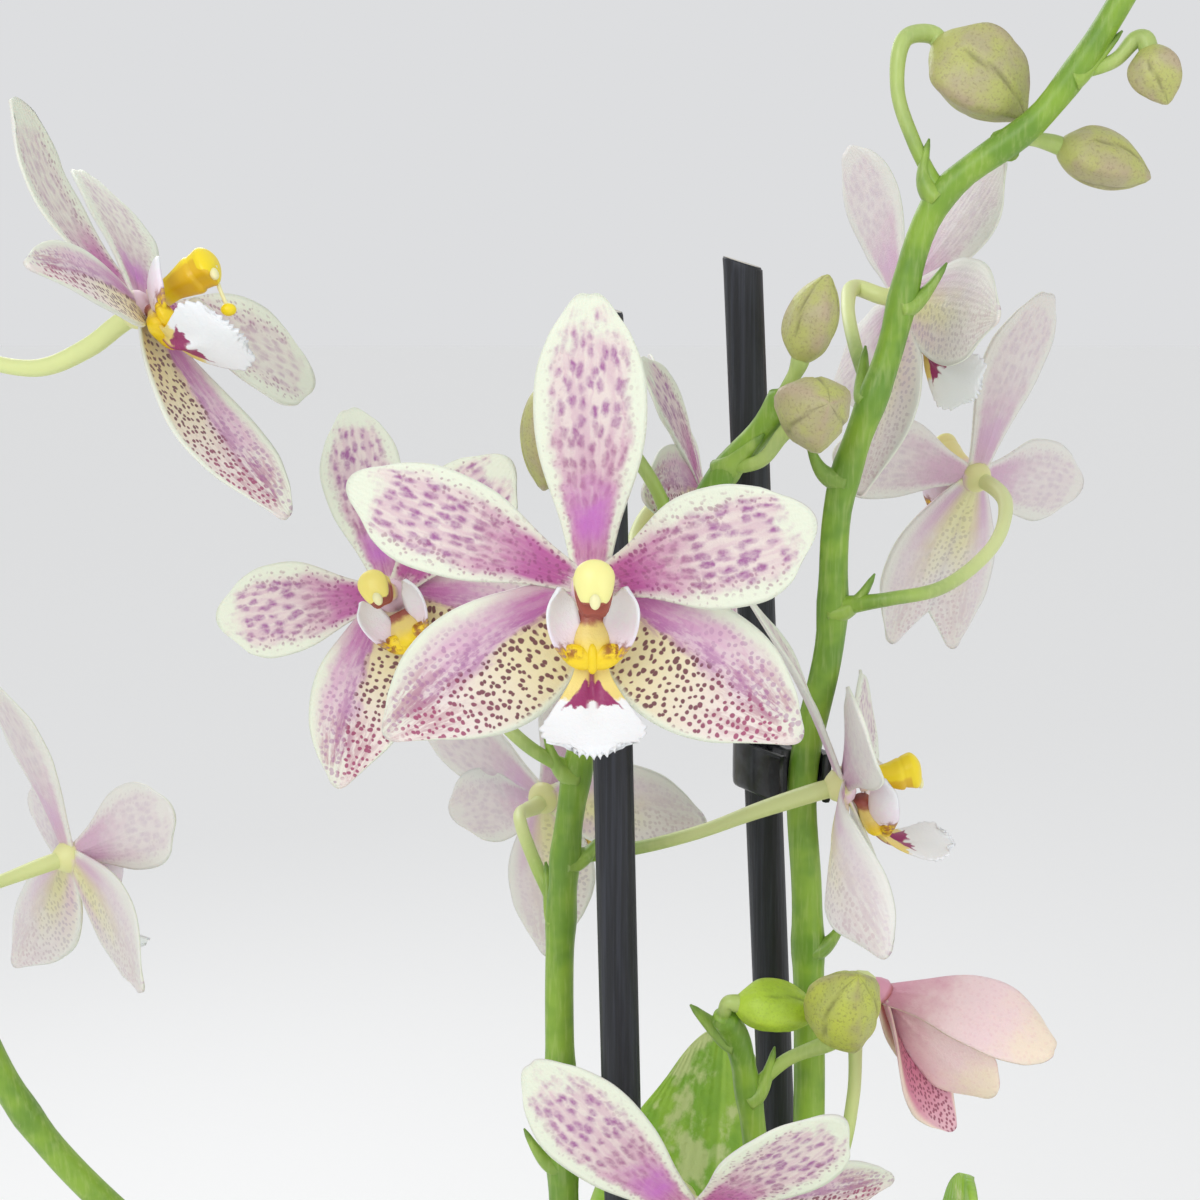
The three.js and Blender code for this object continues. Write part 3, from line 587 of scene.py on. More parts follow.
@dataclass(frozen=True)
class PetalSkin(Finish):
    """A waxy moth-orchid petal: cream margin, lilac streaks along the veins, dotted lower halves."""

    # Wax over thin living tissue: a broad soft gloss, and light that shows a little way through
    title: str = "waxy orchid petal"
    slot: Slot = Slot.PETAL
    subsurface: float = 0.12
    sheen: float = 0.1
    reads: str = "along across seed wide long kind tint back"
    margin: str = "#E6EBD8"
    wash: str = "#D3AEBE"
    warm: str = "#E9DED6"
    plum: str = "#8E3F70"
    streak: str = "#A3629A"
    flush: str = "#B8509C"
    violet: str = "#C46FC4"
    cream: str = "#E2D6A4"
    blush_ground: str = "#ECE1DA"
    dot: str = "#641F34"
    pink_dot: str = "#A5446E"
    mauve: str = "#C083B0"
    pale_mauve: str = "#DCB6CB"
    heart: str = "#F4DFE6"
    back: str = "#E2DFDC"
    back_blush: str = "#D3B3C8"
    back_foot: str = "#E2E594"

    def colour(self, n: Adder, v: Reads) -> Look:
        """Build the petals' colour and vein relief, from the shares and millimetres of each blade.

        Args:
            n: adds a node.
            v: the numbers it reads.

        Returns:
            The colour and the relief.
        """
        v.spread = n(Op.ABSOLUTE, v.across)
        v.spot = n(Op.VECTOR, v.wide, v.long, v.seed)
        v.drift = n(Op.MINUS, n(Op.CLOUD, v.spot, 0.3, 4.0, 0.6), 0.5)
        v.edge = n(Op.TIMES_ADD, v.drift, 0.5, v.spread)
        v.tip = n(Op.TIMES_ADD, v.drift, 0.4, v.along)
        front = n(Op.MIX, n(Op.EASE, v.kind, 1.4, 1.6), self.upper(n, v), self.lower(n, v))
        front = n(Op.MIX, n(Op.EASE, v.along, 0.01, 0.09, 0.75, 0.0), front, self.heart)
        colour = n(Op.MIX, v.back, front, self.behind(n, v, front))
        veins = n(Op.COSINE, n(Op.TIMES, v.across, 46.0))
        return colour, n(Op.TIMES_ADD, veins, 0.12, n(Op.CLOUD, v.spot, 3.2, 2.0))

    def upper(self, n: Adder, v: Reads) -> Socket:
        """The upper sepal and the petals: cream margin, dusty field with chains of marks, plum foot.

        Args:
            n: adds a node.
            v: the sockets of the blade's numbers.

        Returns:
            The colour.
        """
        dorsal = n(Op.FALL, v.kind, 0.4, 0.6)
        inside = n(Op.TIMES, n(Op.FALL, v.edge, 0.54, 0.82), n(Op.FALL, v.tip, 0.8, 0.94))
        inside = n(Op.TIMES, inside, n(Op.MAXIMUM, v.tint, n(Op.FALL, v.along, 0.15, 0.45)))
        # The veins lie 2 mm apart, and the marks follow them in soft clumps 1 to 4 mm long
        sway = n(Op.CLOUD, v.spot, 0.7, 2.0)
        lanes = n(Op.EASE, v.kind, 0.4, 0.6, 3.8, 4.4)
        lanes = n(Op.TIMES_ADD, v.across, lanes, n(Op.TIMES_ADD, sway, 0.5, v.seed))
        silk = n(Op.VECTOR, n(Op.TIMES, lanes, 1.9), n(Op.TIMES, v.long, 0.11), v.seed)
        silk = n(Op.EASE, n(Op.CLOUD, silk, 1.0, 2.0, 0.5), 0.38, 0.62)
        steps = n(Op.TIMES_ADD, sway, 0.8, n(Op.TIMES, v.seed, 1.7))
        steps = n(Op.TIMES_ADD, v.long, 0.38, steps)
        clump = n(Op.CELLS, n(Op.VECTOR, n(Op.TIMES, lanes, 1.35), steps, 0.0), 0.7)
        clump = n(Op.MINUS, clump, n(Op.TIMES_ADD, v.drift, 0.7, 0.35))
        clump = n(Op.FALL, clump, -0.24, 0.2)
        fine = n(Op.VECTOR, v.wide, n(Op.TIMES, v.long, 0.6), v.seed)
        fine = n(Op.EASE, n(Op.CLOUD, fine, 1.1, 3.0, 0.6), 0.34, 0.66)
        ground = n(Op.TIMES_ADD, silk, 0.5, n(Op.EASE, v.tip, 0.2, 0.7, 0.45, 0.0))
        colour = n(Op.MIX, inside, self.margin, n(Op.MIX, ground, self.warm, self.wash))
        ink = n(Op.MIX, n(Op.EASE, v.tip, 0.3, 0.65), self.plum, self.streak)
        marked = n(Op.TIMES, n(Op.TIMES_ADD, clump, 0.9, 0.1), n(Op.TIMES_ADD, fine, 0.45, 0.55))
        marked = n(Op.TIMES, marked, n(Op.EASE, v.tip, 0.2, 0.6, 0.5, 1.0))
        colour = n(Op.MIX, n(Op.TIMES, marked, inside), colour, ink)
        # A few darker dots under 1 mm wide stand along the rim of the field
        dots = n(Op.TIMES_ADD, sway, 0.8, v.wide), n(Op.TIMES_ADD, sway, 1.1, v.long)
        dots = n(Op.VECTOR, *dots, 0.0)
        dots = n(Op.CELLS, n(Op.STRETCH, dots, (1.0, 0.95, 1.0)), 0.95)
        dots = n(Op.FALL, n(Op.MINUS, dots, n(Op.TIMES_ADD, v.drift, 0.6, 0.22)), -0.08, 0.1)
        rim = n(Op.TIMES, n(Op.EASE, v.edge, 0.3, 0.6), n(Op.FALL, v.edge, 0.76, 0.92))
        rim = n(Op.TIMES_ADD, rim, 0.5, n(Op.EASE, v.tip, 0.2, 0.5, 0.4, 0.0))
        rim = n(Op.TIMES, rim, n(Op.FALL, v.tip, 0.8, 0.9))
        rim = n(Op.TIMES, rim, n(Op.EASE, v.kind, 0.4, 0.6, 0.4, 1.0))
        colour = n(Op.MIX, n(Op.TIMES, dots, rim), colour, self.plum)
        foot = n(Op.TIMES_ADD, v.drift, 0.3, v.along)
        flush = n(Op.TIMES, n(Op.EASE, foot, 0.05, 0.13), n(Op.FALL, foot, 0.16, 0.5))
        flush = n(Op.TIMES, flush, n(Op.EASE, v.spread, 0.55, 1.0, 0.9, 0.15))
        flush = n(Op.TIMES, flush, n(Op.MINUS, 1.0, dorsal))
        colour = n(Op.MIX, flush, colour, n(Op.MIX, n(Op.TIMES, dots, 0.55), self.flush, self.plum))
        # The upper sepal has a violet blotch over its foot and rosy ground up to its middle
        rosy = n(Op.TIMES, n(Op.EASE, foot, 0.1, 0.55, 0.55, 0.0), n(Op.TIMES, dorsal, inside))
        colour = n(Op.MIX, rosy, colour, self.flush)
        blotch = n(Op.TIMES, n(Op.EASE, v.along, 0.09, 0.19), n(Op.FALL, foot, 0.18, 0.4))
        blotch = n(Op.TIMES, blotch, n(Op.EASE, v.spread, 0.2, 0.85, 0.85, 0.05))
        return n(Op.MIX, n(Op.TIMES, blotch, dorsal), colour, self.violet)

    def lower(self, n: Adder, v: Reads) -> Socket:
        """The lower sepals: streaked mauve above the midline, dark dots on cream below it.

        Args:
            n: adds a node.
            v: the sockets of the blade's numbers.

        Returns:
            The colour.
        """
        line = n(Op.TIMES_ADD, v.drift, 0.36, v.across)
        ground = n(Op.MIX, n(Op.EASE, v.along, 0.2, 0.75), self.cream, self.blush_ground)
        colour = n(Op.MIX, n(Op.EASE, v.spread, 0.84, 0.98), ground, self.margin)
        outer = n(Op.FALL, line, -0.2, n(Op.EASE, v.along, 0.2, 0.8, -0.1, 0.3))
        silk = n(Op.VECTOR, n(Op.TIMES, v.across, 7.0), n(Op.TIMES, v.long, 0.22), v.seed)
        silk = n(Op.CLOUD, silk, 1.0, 4.0, 0.7)
        mauve = n(Op.TIMES, n(Op.EASE, line, -0.95, -0.6), n(Op.EASE, v.tip, 0.5, 0.95, 1.0, 0.15))
        mauve = n(Op.TIMES, mauve, n(Op.EASE, silk, 0.34, 0.62, 0.68, 1.0))
        tone = n(Op.MIX, n(Op.EASE, v.tip, 0.1, 0.6), self.mauve, self.pale_mauve)
        colour = n(Op.MIX, outer, colour, n(Op.MIX, mauve, self.margin, tone))
        smudge = n(Op.TIMES, n(Op.EASE, line, -0.5, -0.25), n(Op.FALL, line, -0.12, 0.1))
        smudge = n(Op.TIMES, smudge, n(Op.EASE, silk, 0.42, 0.6, 0.1, 0.8))
        smudge = n(Op.TIMES, smudge, n(Op.EASE, v.tip, 0.8, 0.95, 0.7, 0.0))
        colour = n(Op.MIX, smudge, colour, self.streak)
        rose = n(Op.TIMES, n(Op.EASE, v.tip, 0.5, 0.8), n(Op.FALL, v.tip, 0.86, 0.97))
        rose = n(Op.TIMES, rose, n(Op.EASE, silk, 0.4, 0.6))
        rose = n(Op.TIMES, rose, n(Op.EASE, v.edge, 0.5, 0.95, 0.5, 0.0))
        colour = n(Op.MIX, rose, colour, self.pink_dot)
        # Dots 0.6 mm wide and 1.1 mm apart, drawn out across the blade near its foot
        sway = n(Op.CLOUD, v.spot, 0.6, 1.0)
        stretched = n(Op.TIMES_ADD, v.wide, n(Op.EASE, v.along, 0.15, 0.5, 0.62, 0.9), v.seed)
        columns = n(Op.TIMES_ADD, sway, 0.6, stretched)
        rows = n(Op.TIMES_ADD, v.long, 0.92, n(Op.TIMES, v.seed, 1.3))
        rows = n(Op.TIMES_ADD, sway, 0.6, rows)
        distance = n(Op.CELLS, n(Op.VECTOR, columns, rows, 0.0), 0.75)
        size = n(Op.TIMES_ADD, n(Op.MINUS, sway, 0.5), 0.35, n(Op.TIMES_ADD, v.drift, 0.2, 0.28))
        dots = n(Op.FALL, n(Op.MINUS, distance, size), -0.07, 0.07)
        specks = n(Op.TIMES, n(Op.TIMES, dots, outer), n(Op.EASE, v.along, 0.3, 0.6, 0.1, 0.5))
        specks = n(Op.TIMES, specks, n(Op.FALL, v.spread, 0.65, 0.9))
        colour = n(Op.MIX, specks, colour, self.streak)
        reach = n(Op.TIMES, n(Op.EASE, line, -0.2, -0.04), n(Op.FALL, v.spread, 0.86, 0.95))
        reach = n(Op.TIMES, reach, n(Op.FALL, v.along, 0.9, 0.96))
        reach = n(Op.TIMES, reach, n(Op.EASE, v.along, 0.08, 0.13, 0.0, 0.93))
        ink = n(Op.MIX, n(Op.EASE, v.tip, 0.45, 0.85), self.dot, self.pink_dot)
        colour = n(Op.MIX, n(Op.TIMES, dots, reach), colour, ink)
        foot = n(Op.TIMES, n(Op.EASE, v.along, 0.06, 0.14), n(Op.FALL, v.along, 0.14, 0.4))
        return n(Op.MIX, n(Op.TIMES, foot, n(Op.EASE, line, -0.3, 0.0, 0.55, 0.0)), colour, self.flush)

    def behind(self, n: Adder, v: Reads, front: Socket) -> Socket:
        """The backs: greenish white, with a pink flush near the foot and a yellow stripe on sepals.

        Args:
            n: adds a node.
            v: the sockets of the blade's numbers.
            front: the colour of the face, which shows through a little.

        Returns:
            The colour.
        """
        foot = n(Op.TIMES_ADD, v.drift, 0.5, v.along)
        blush = n(Op.TIMES, n(Op.EASE, foot, 0.1, 0.6, 0.85, 0.12), n(Op.FALL, v.spread, 0.6, 0.95))
        colour = n(Op.MIX, blush, self.back, self.back_blush)
        stripe = n(Op.TIMES, n(Op.EASE, foot, 0.1, 0.75, 0.75, 0.05), n(Op.FALL, v.spread, 0.15, 0.6))
        stripe = n(Op.TIMES, stripe, n(Op.EASE, v.kind, 1.4, 1.6))
        colour = n(Op.MIX, 0.24, n(Op.MIX, stripe, colour, self.back_foot), front)
        return n(Op.MIX, n(Op.EASE, v.along, 0.0, 0.07, 0.85, 0.0), colour, self.back_foot)


@dataclass(frozen=True)
class PinkPetalSkin(Finish):
    """The half-open flower: blush outside, deeper rose with dark dots inside, and painted shade deep inside
    near the foot.
    """

    # Young waxy tissue: the same soft gloss as the open petals, with the folds' own shadow; the red-brown
    # deep inside the bell is painted shade
    title: str = "blush orchid petal"
    slot: Slot = Slot.PINK
    subsurface: float = 0.12
    sheen: float = 0.1
    relief: float = 0.12
    reads: str = "along across seed wide long back"
    blush: str = "#F2D6D8"
    foot: str = "#DC9CB2"
    rose: str = "#D4809C"
    tip: str = "#F4E2CC"
    # Red-brown painted shade for the bell's inside near its foot
    shade: str = "#B96F6C"
    dot: str = "#8C3552"

    def colour(self, n: Adder, v: Reads) -> Look:
        """Build the blush colour and its dots.

        Args:
            n: adds a node.
            v: the numbers it reads.

        Returns:
            The colour and the relief.
        """
        spot, spread = n(Op.VECTOR, v.wide, v.long, v.seed), n(Op.ABSOLUTE, v.across)
        drift = n(Op.MINUS, n(Op.CLOUD, spot, 0.25, 4.0), 0.5)
        reach = n(Op.TIMES_ADD, drift, 0.5, v.along)
        outside = n(Op.MIX, n(Op.EASE, reach, 0.05, 0.45), self.foot, self.blush)
        outside = n(Op.MIX, n(Op.EASE, reach, 0.55, 0.95), outside, self.tip)
        freckles = n(Op.CELLS, n(Op.VECTOR, n(Op.TIMES, v.wide, 0.9), n(Op.TIMES, v.long, 0.8), 0.0))
        outside = n(Op.MIX, n(Op.EASE, freckles, 0.1, 0.3, 0.1, 0.0), outside, self.rose)
        # Near the foot the inside is painted shade, easing into rose further out
        inside = n(Op.MIX, n(Op.EASE, reach, 0.05, 0.5), self.shade, self.rose)
        inside = n(Op.MIX, n(Op.EASE, reach, 0.5, 1.0, 0.0, 0.6), inside, self.blush)
        inside = n(Op.MIX, n(Op.EASE, spread, 0.7, 0.95, 0.0, 0.85), inside, self.tip)
        dots = n(Op.CELLS, n(Op.VECTOR, n(Op.TIMES, v.wide, 1.5), n(Op.ADD, v.long, v.seed), 0.0), 0.9)
        dots = n(Op.TIMES, n(Op.EASE, dots, 0.2, 0.42, 0.85, 0.0), n(Op.FALL, spread, 0.5, 0.75))
        inside = n(Op.MIX, dots, inside, self.dot)
        return n(Op.MIX, v.back, inside, outside), n(Op.CLOUD, spot, 3.0, 2.0)


@dataclass(frozen=True)
class LipSkin(Finish):
    """The lip: brown throat, yellow freckled callus, white ears, crimson wings and a white fringed end."""

    # Firm, fleshy and smooth: it catches the light a little sharper than the petals do
    title: str = "orchid lip"
    slot: Slot = Slot.LIP
    roughness: float = 0.42
    subsurface: float = 0.1
    relief: float = 0.08
    reads: str = "along across part wide long"
    white: str = "#F1F3F5"
    lilac: str = "#F4E8F4"
    yellow: str = "#F6D41C"
    cream: str = "#EDD780"
    crimson: str = "#9A2F68"
    brown: str = "#8A3418"
    throat: str = "#A4584C"

    def colour(self, n: Adder, v: Reads) -> Look:
        """Build the colours of the lip's three parts.

        Args:
            n: adds a node.
            v: the numbers it reads.

        Returns:
            The colour and the relief.
        """
        spot, spread = n(Op.VECTOR, v.wide, v.long, v.part), n(Op.ABSOLUTE, v.across)
        drift = n(Op.MINUS, n(Op.CLOUD, spot, 0.9, 3.0), 0.5)
        # Callus: brown throat, pale yellow slope, then a bright W with brown lines at its corners
        slope = n(Op.TIMES_ADD, drift, 0.2, v.along)
        callus = n(Op.MIX, n(Op.EASE, slope, 0.12, 0.3), self.throat, self.cream)
        callus = n(Op.MIX, n(Op.EASE, slope, 0.4, 0.8), callus, self.yellow)
        lines = n(Op.CLOUD, n(Op.VECTOR, v.wide, v.long, 3.0), 0.9, 3.0, 0.6)
        lines = n(Op.TIMES, n(Op.EASE, lines, 0.4, 0.58), n(Op.EASE, spread, 0.2, 0.55))
        lines = n(Op.TIMES, lines, n(Op.EASE, v.long, -9.1, -7.9, 0.0, 0.85))
        callus = n(Op.MIX, lines, callus, self.brown)
        # Side lobes: white with a lilac blush inside, yellow and brown where they join the lip
        up = n(Op.TIMES_ADD, drift, 0.5, v.along)
        lobe = n(Op.MIX, n(Op.EASE, up, 0.3, 0.7), self.lilac, self.white)
        lobe = n(Op.MIX, n(Op.EASE, up, 0.12, 0.26, 0.85, 0.0), lobe, self.brown)
        lobe = n(Op.MIX, n(Op.FALL, up, 0.04, 0.16), lobe, self.yellow)
        # Middle lobe: yellow-cream neck with a red line, two crimson wings, white end
        jag = n(Op.COSINE, n(Op.TIMES, spread, 21.0))
        jag = n(Op.TIMES_ADD, jag, 0.014, n(Op.TIMES_ADD, drift, 0.14, v.along))
        middle = n(Op.MIX, n(Op.EASE, v.along, 0.0, 0.16), self.yellow, self.cream)
        middle = n(Op.MIX, n(Op.EASE, jag, 0.38, 0.43), middle, self.white)
        over = n(Op.MINUS, jag, n(Op.TIMES_ADD, spread, -0.1, 0.3))
        wing = n(Op.TIMES, n(Op.EASE, over, -0.06, -0.03), n(Op.FALL, jag, 0.46, 0.485))
        gap = n(Op.TIMES, n(Op.FALL, spread, 0.05, 0.2), n(Op.EASE, jag, 0.4, 0.43))
        flank = n(Op.MINUS, spread, n(Op.TIMES_ADD, jag, 1.7, -0.02))
        wing = n(Op.TIMES, n(Op.TIMES, wing, n(Op.MINUS, 1.0, gap)), n(Op.FALL, flank, -0.06, 0.03))
        stripe = n(Op.TIMES, n(Op.FALL, v.along, 0.3, 0.34), n(Op.EASE, spread, 0.06, 0.2, 0.9, 0.0))
        middle = n(Op.MIX, n(Op.MAXIMUM, wing, stripe), middle, self.crimson)
        colour = n(Op.MIX, n(Op.EASE, v.part, 0.4, 0.6), callus, lobe)
        return n(Op.MIX, n(Op.EASE, v.part, 1.4, 1.6), colour, middle), n(Op.CLOUD, spot, 2.4, 2.0)


@dataclass(frozen=True)
class ColumnSkin(Finish):
    """The column: a waxy yellow cap over a red-brown hollow."""

    # Smooth thick wax: the glossiest part of the flower, and slightly see-through
    title: str = "waxy column"
    slot: Slot = Slot.COLUMN
    roughness: float = 0.38
    subsurface: float = 0.15
    relief: float = 0.04
    reads: str = "along under tooth"
    cap: str = "#EFEB98"
    foot: str = "#F2DDD0"
    under: str = "#A04C3C"
    tooth: str = "#F0EBB4"

    def colour(self, n: Adder, v: Reads) -> Look:
        """Build the cap, the body, the hollow under the cap and its pale tooth.

        Args:
            n: adds a node.
            v: the numbers it reads.

        Returns:
            The colour and the relief.
        """
        drift = n(Op.CLOUD, own_place(n), 0.9)
        body = n(Op.MIX, n(Op.EASE, v.along, 0.02, 0.25), self.foot, self.cap)
        hollow = n(Op.TIMES_ADD, n(Op.MINUS, drift, 0.5), 0.3, v.under)
        past_rim = n(Op.MINUS, v.along, n(Op.EASE, hollow, 0.62, 0.9, 0.79, 0.9))
        hollow = n(Op.TIMES, n(Op.EASE, hollow, 0.1, 0.35), n(Op.FALL, past_rim, 0.0, 0.02))
        body = n(Op.MIX, n(Op.TIMES, hollow, n(Op.EASE, v.along, 0.2, 0.4)), body, self.under)
        return n(Op.MIX, v.tooth, body, self.tooth), drift


@dataclass(frozen=True)
class StemSkin(Finish):
    """A living stem: fresh green, darker at the joints, and cream-green on flower stalks."""

    # Smooth skin with fine fibre lines under it: satin; the faint pale lines along the stem are fibre
    # streaks and partly painted streaky highlight
    title: str = "orchid stem"
    slot: Slot = Slot.STEM
    roughness: float = 0.42
    subsurface: float = 0.1
    relief: float = 0.05
    reads: str = "joint pale scar"
    green: str = "#8BAF38"
    deep: str = "#66902B"
    pale: str = "#DDE4A0"
    scar: str = "#5F8430"

    def colour(self, n: Adder, v: Reads) -> Look:
        """Build the stem's colour.

        Args:
            n: adds a node.
            v: the numbers it reads.

        Returns:
            The colour and the relief.
        """
        where = own_place(n)
        mottle = n(Op.CLOUD, where, 0.12, 3.0)
        colour = n(Op.MIX, n(Op.EASE, mottle, 0.35, 0.7), self.green, self.deep)
        colour = n(Op.MIX, n(Op.EASE, v.joint, 0.3, 1.0, 0.0, 0.5), colour, self.deep)
        colour = n(Op.MIX, v.pale, colour, self.pale)
        colour = n(Op.MIX, n(Op.EASE, v.scar, 0.3, 1.0, 0.0, 0.8), colour, self.scar)
        # Pale lengthwise streaks, lightest where the relief is raised: fibre streaks and partly painted
        # highlight
        fibre_streaks_and_highlight = n(Op.CLOUD, n(Op.STRETCH, where, (1.2, 1.2, 0.12)), 1.2, 3.0)
        return n(Op.MIX, n(Op.EASE, fibre_streaks_and_highlight, 0.45, 0.75, 0.0, 0.16), colour, self.pale), fibre_streaks_and_highlight


@dataclass(frozen=True)
class BudSkin(Finish):
    """A closed bud: waxy olive with purple-brown freckles and dark seams."""

    # Waxy and slightly crumpled: small uneven highlights along the keels
    title: str = "olive bud"
    slot: Slot = Slot.BUD
    roughness: float = 0.45
    subsurface: float = 0.1
    relief: float = 0.22
    reads: str = "along seam ridge"
    olive: str = "#B4AC84"
    lime: str = "#B8BB6C"
    freckle: str = "#86745A"
    seam: str = "#6F6A42"
    crest: str = "#B5A288"

    def colour(self, n: Adder, v: Reads) -> Look:
        """Build the bud's colour and its crumpled skin.

        Args:
            n: adds a node.
            v: the numbers it reads.

        Returns:
            The colour and the relief.
        """
        where = own_place(n)
        mottle = n(Op.CLOUD, where, 0.22, 4.0)
        colour = n(Op.MIX, n(Op.EASE, mottle, 0.35, 0.7), self.lime, self.olive)
        crest = n(Op.TIMES, v.ridge, n(Op.EASE, mottle, 0.35, 0.65, 0.25, 0.8))
        colour = n(Op.MIX, crest, colour, self.crest)
        freckles = n(Op.EASE, n(Op.CLOUD, where, 2.4, 2.0, 0.6), 0.52, 0.68, 0.0, 0.4)
        colour = n(Op.MIX, freckles, colour, self.freckle)
        colour = n(Op.MIX, n(Op.EASE, v.along, 0.02, 0.2, 0.8, 0.0), colour, self.lime)
        colour = n(Op.MIX, n(Op.EASE, v.seam, 0.3, 1.0, 0.0, 0.55), colour, self.seam)
        return colour, n(Op.CLOUD, where, 0.8, 4.0)


@dataclass(frozen=True)
class LeafSkin(Finish):
    """A thick leathery leaf: fresh green marbled with paler patches."""

    # Leathery skin under natural wax: a satin gloss that runs along the blade
    title: str = "marbled orchid leaf"
    slot: Slot = Slot.LEAF
    roughness: float = 0.36
    subsurface: float = 0.05
    coat: float = 0.12
    relief: float = 0.25
    reads: str = "along across back wide long"
    green: str = "#A6D046"
    light: str = "#DDE6A2"
    deep: str = "#8CBE3A"
    under: str = "#A0C060"

    def colour(self, n: Adder, v: Reads) -> Look:
        """Build the marbling, the midrib line and the duller underside.

        Args:
            n: adds a node.
            v: the numbers it reads.

        Returns:
            The colour and the relief.
        """
        spread = n(Op.ABSOLUTE, v.across)
        # Pale patches 4 to 15 mm long lie along the blade in loose rows
        patches = n(Op.VECTOR, n(Op.TIMES, v.wide, 0.16), n(Op.TIMES, v.long, 0.075), 1.0)
        colour = n(Op.MIX, n(Op.EASE, n(Op.CLOUD, patches, 1.0, 4.0), 0.4, 0.6), self.green, self.deep)
        marble = n(Op.CLOUD, n(Op.VECTOR, v.wide, n(Op.TIMES, v.long, 0.55), 7.0), 0.13, 5.0, 0.6)
        marble = n(Op.TIMES, n(Op.EASE, marble, 0.5, 0.6), n(Op.EASE, spread, 0.7, 0.95, 0.85, 0.1))
        colour = n(Op.MIX, marble, colour, self.light)
        colour = n(Op.MIX, n(Op.EASE, spread, 0.02, 0.06, 0.5, 0.0), colour, self.deep)
        colour = n(Op.MIX, n(Op.EASE, spread, 0.94, 1.0, 0.0, 0.35), colour, self.light)
        colour = n(Op.MIX, n(Op.EASE, v.along, 0.0, 0.12, 0.6, 0.0), colour, self.light)
        colour = n(Op.MIX, n(Op.TIMES, v.back, 0.75), colour, self.under)
        veins = n(Op.COSINE, n(Op.TIMES, v.across, 62.0))
        return colour, n(Op.TIMES_ADD, veins, 0.12, n(Op.CLOUD, own_place(n), 0.6, 3.0))


@dataclass(frozen=True)
class CrownSkin(Finish):
    """The crown and its aerial roots: green sheaths with dry edges, silvery spongy root skin."""

    # Papery sheath and dry spongy root skin: matte, with a soft uneven surface
    title: str = "crown and silver roots"
    slot: Slot = Slot.CROWN
    roughness: float = 0.62
    subsurface: float = 0.04
    relief: float = 0.35
    reads: str = "root"
    sheath: str = "#88A04A"
    dry: str = "#A58F62"
    silver: str = "#B9BFA6"
    green: str = "#8FA66A"

    def colour(self, n: Adder, v: Reads) -> Look:
        """Build the sheath and the root colours.

        Args:
            n: adds a node.
            v: the numbers it reads.

        Returns:
            The colour and the relief.
        """
        where = own_place(n)
        mottle = n(Op.CLOUD, where, 0.16, 4.0)
        crown = n(Op.MIX, n(Op.EASE, mottle, 0.45, 0.62), self.sheath, self.dry)
        root = n(Op.MIX, n(Op.EASE, mottle, 0.4, 0.6), self.silver, self.green)
        return n(Op.MIX, v.root, crown, root), n(Op.CLOUD, where, 0.9, 4.0)


@dataclass(frozen=True)
class PineBark(Finish):
    """Broken pine bark: matte red-brown chips, some greyer, with a flaky grain."""

    # Torn, not cut: dry flaky faces that scatter the light; the dark gaps are painted shade where the flaky
    # relief is low
    title: str = "pine bark"
    slot: Slot = Slot.BARK
    roughness: float = 0.9
    specular: float = 0.25
    relief: float = 0.9
    reads: str = "tint"
    brown: str = "#6A4228"
    # Near-black brown: painted shade for the gaps in the flaky surface
    dark: str = "#38241A"
    grey: str = "#8E7862"

    def colour(self, n: Adder, v: Reads) -> Look:
        """Build the chips' colour, one tint to a chip, and their flaky relief.

        Args:
            n: adds a node.
            v: the numbers it reads.

        Returns:
            The colour and the relief.
        """
        flake_relief_and_gap_shade = n(Op.CLOUD, n(Op.STRETCH, own_place(n), (0.5, 0.5, 1.4)), 0.5, 5.0, 0.7)
        # Darker where the flaky relief is low: painted shade in the gaps
        colour = n(Op.MIX, n(Op.EASE, flake_relief_and_gap_shade, 0.35, 0.65), self.dark, self.brown)
        return n(Op.MIX, n(Op.EASE, v.tint, 0.35, 1.0, 0.0, 0.65), colour, self.grey), flake_relief_and_gap_shade


@dataclass(frozen=True)
class GlazedClay(Finish):
    """Glazed stoneware, dipped and fired: off-white, faintly cloudy, with a clear gloss."""

    # The melted glaze is a glassy coat: a sharp highlight over a softer clay colour
    title: str = "glazed stoneware"
    slot: Slot = Slot.POT
    roughness: float = 0.28
    coat: float = 0.5
    relief: float = 0.12
    reads: str = "foot"
    glaze: str = "#E6E1D6"
    cloud_colour: str = "#DDD8CC"
    bare: str = "#B79A78"

    def colour(self, n: Adder, v: Reads) -> Look:
        """Build the glaze, with bare clay at the foot ring.

        Args:
            n: adds a node.
            v: the numbers it reads.

        Returns:
            The colour and the relief.
        """
        where = own_place(n)
        clouds = n(Op.EASE, n(Op.CLOUD, where, 0.03, 3.0), 0.4, 0.7, 0.0, 0.7)
        colour = n(Op.MIX, clouds, self.glaze, self.cloud_colour)
        grains = n(Op.CELLS, n(Op.STRETCH, where, (0.3, 0.3, 0.3)), voronoi_dimensions="3D")
        colour = n(Op.MIX, n(Op.EASE, grains, 0.05, 0.1, 0.35, 0.0), colour, self.bare)
        colour = n(Op.MIX, n(Op.EASE, v.foot, 0.3, 0.7), colour, self.bare)
        return colour, n(Op.CLOUD, where, 0.12, 2.0)


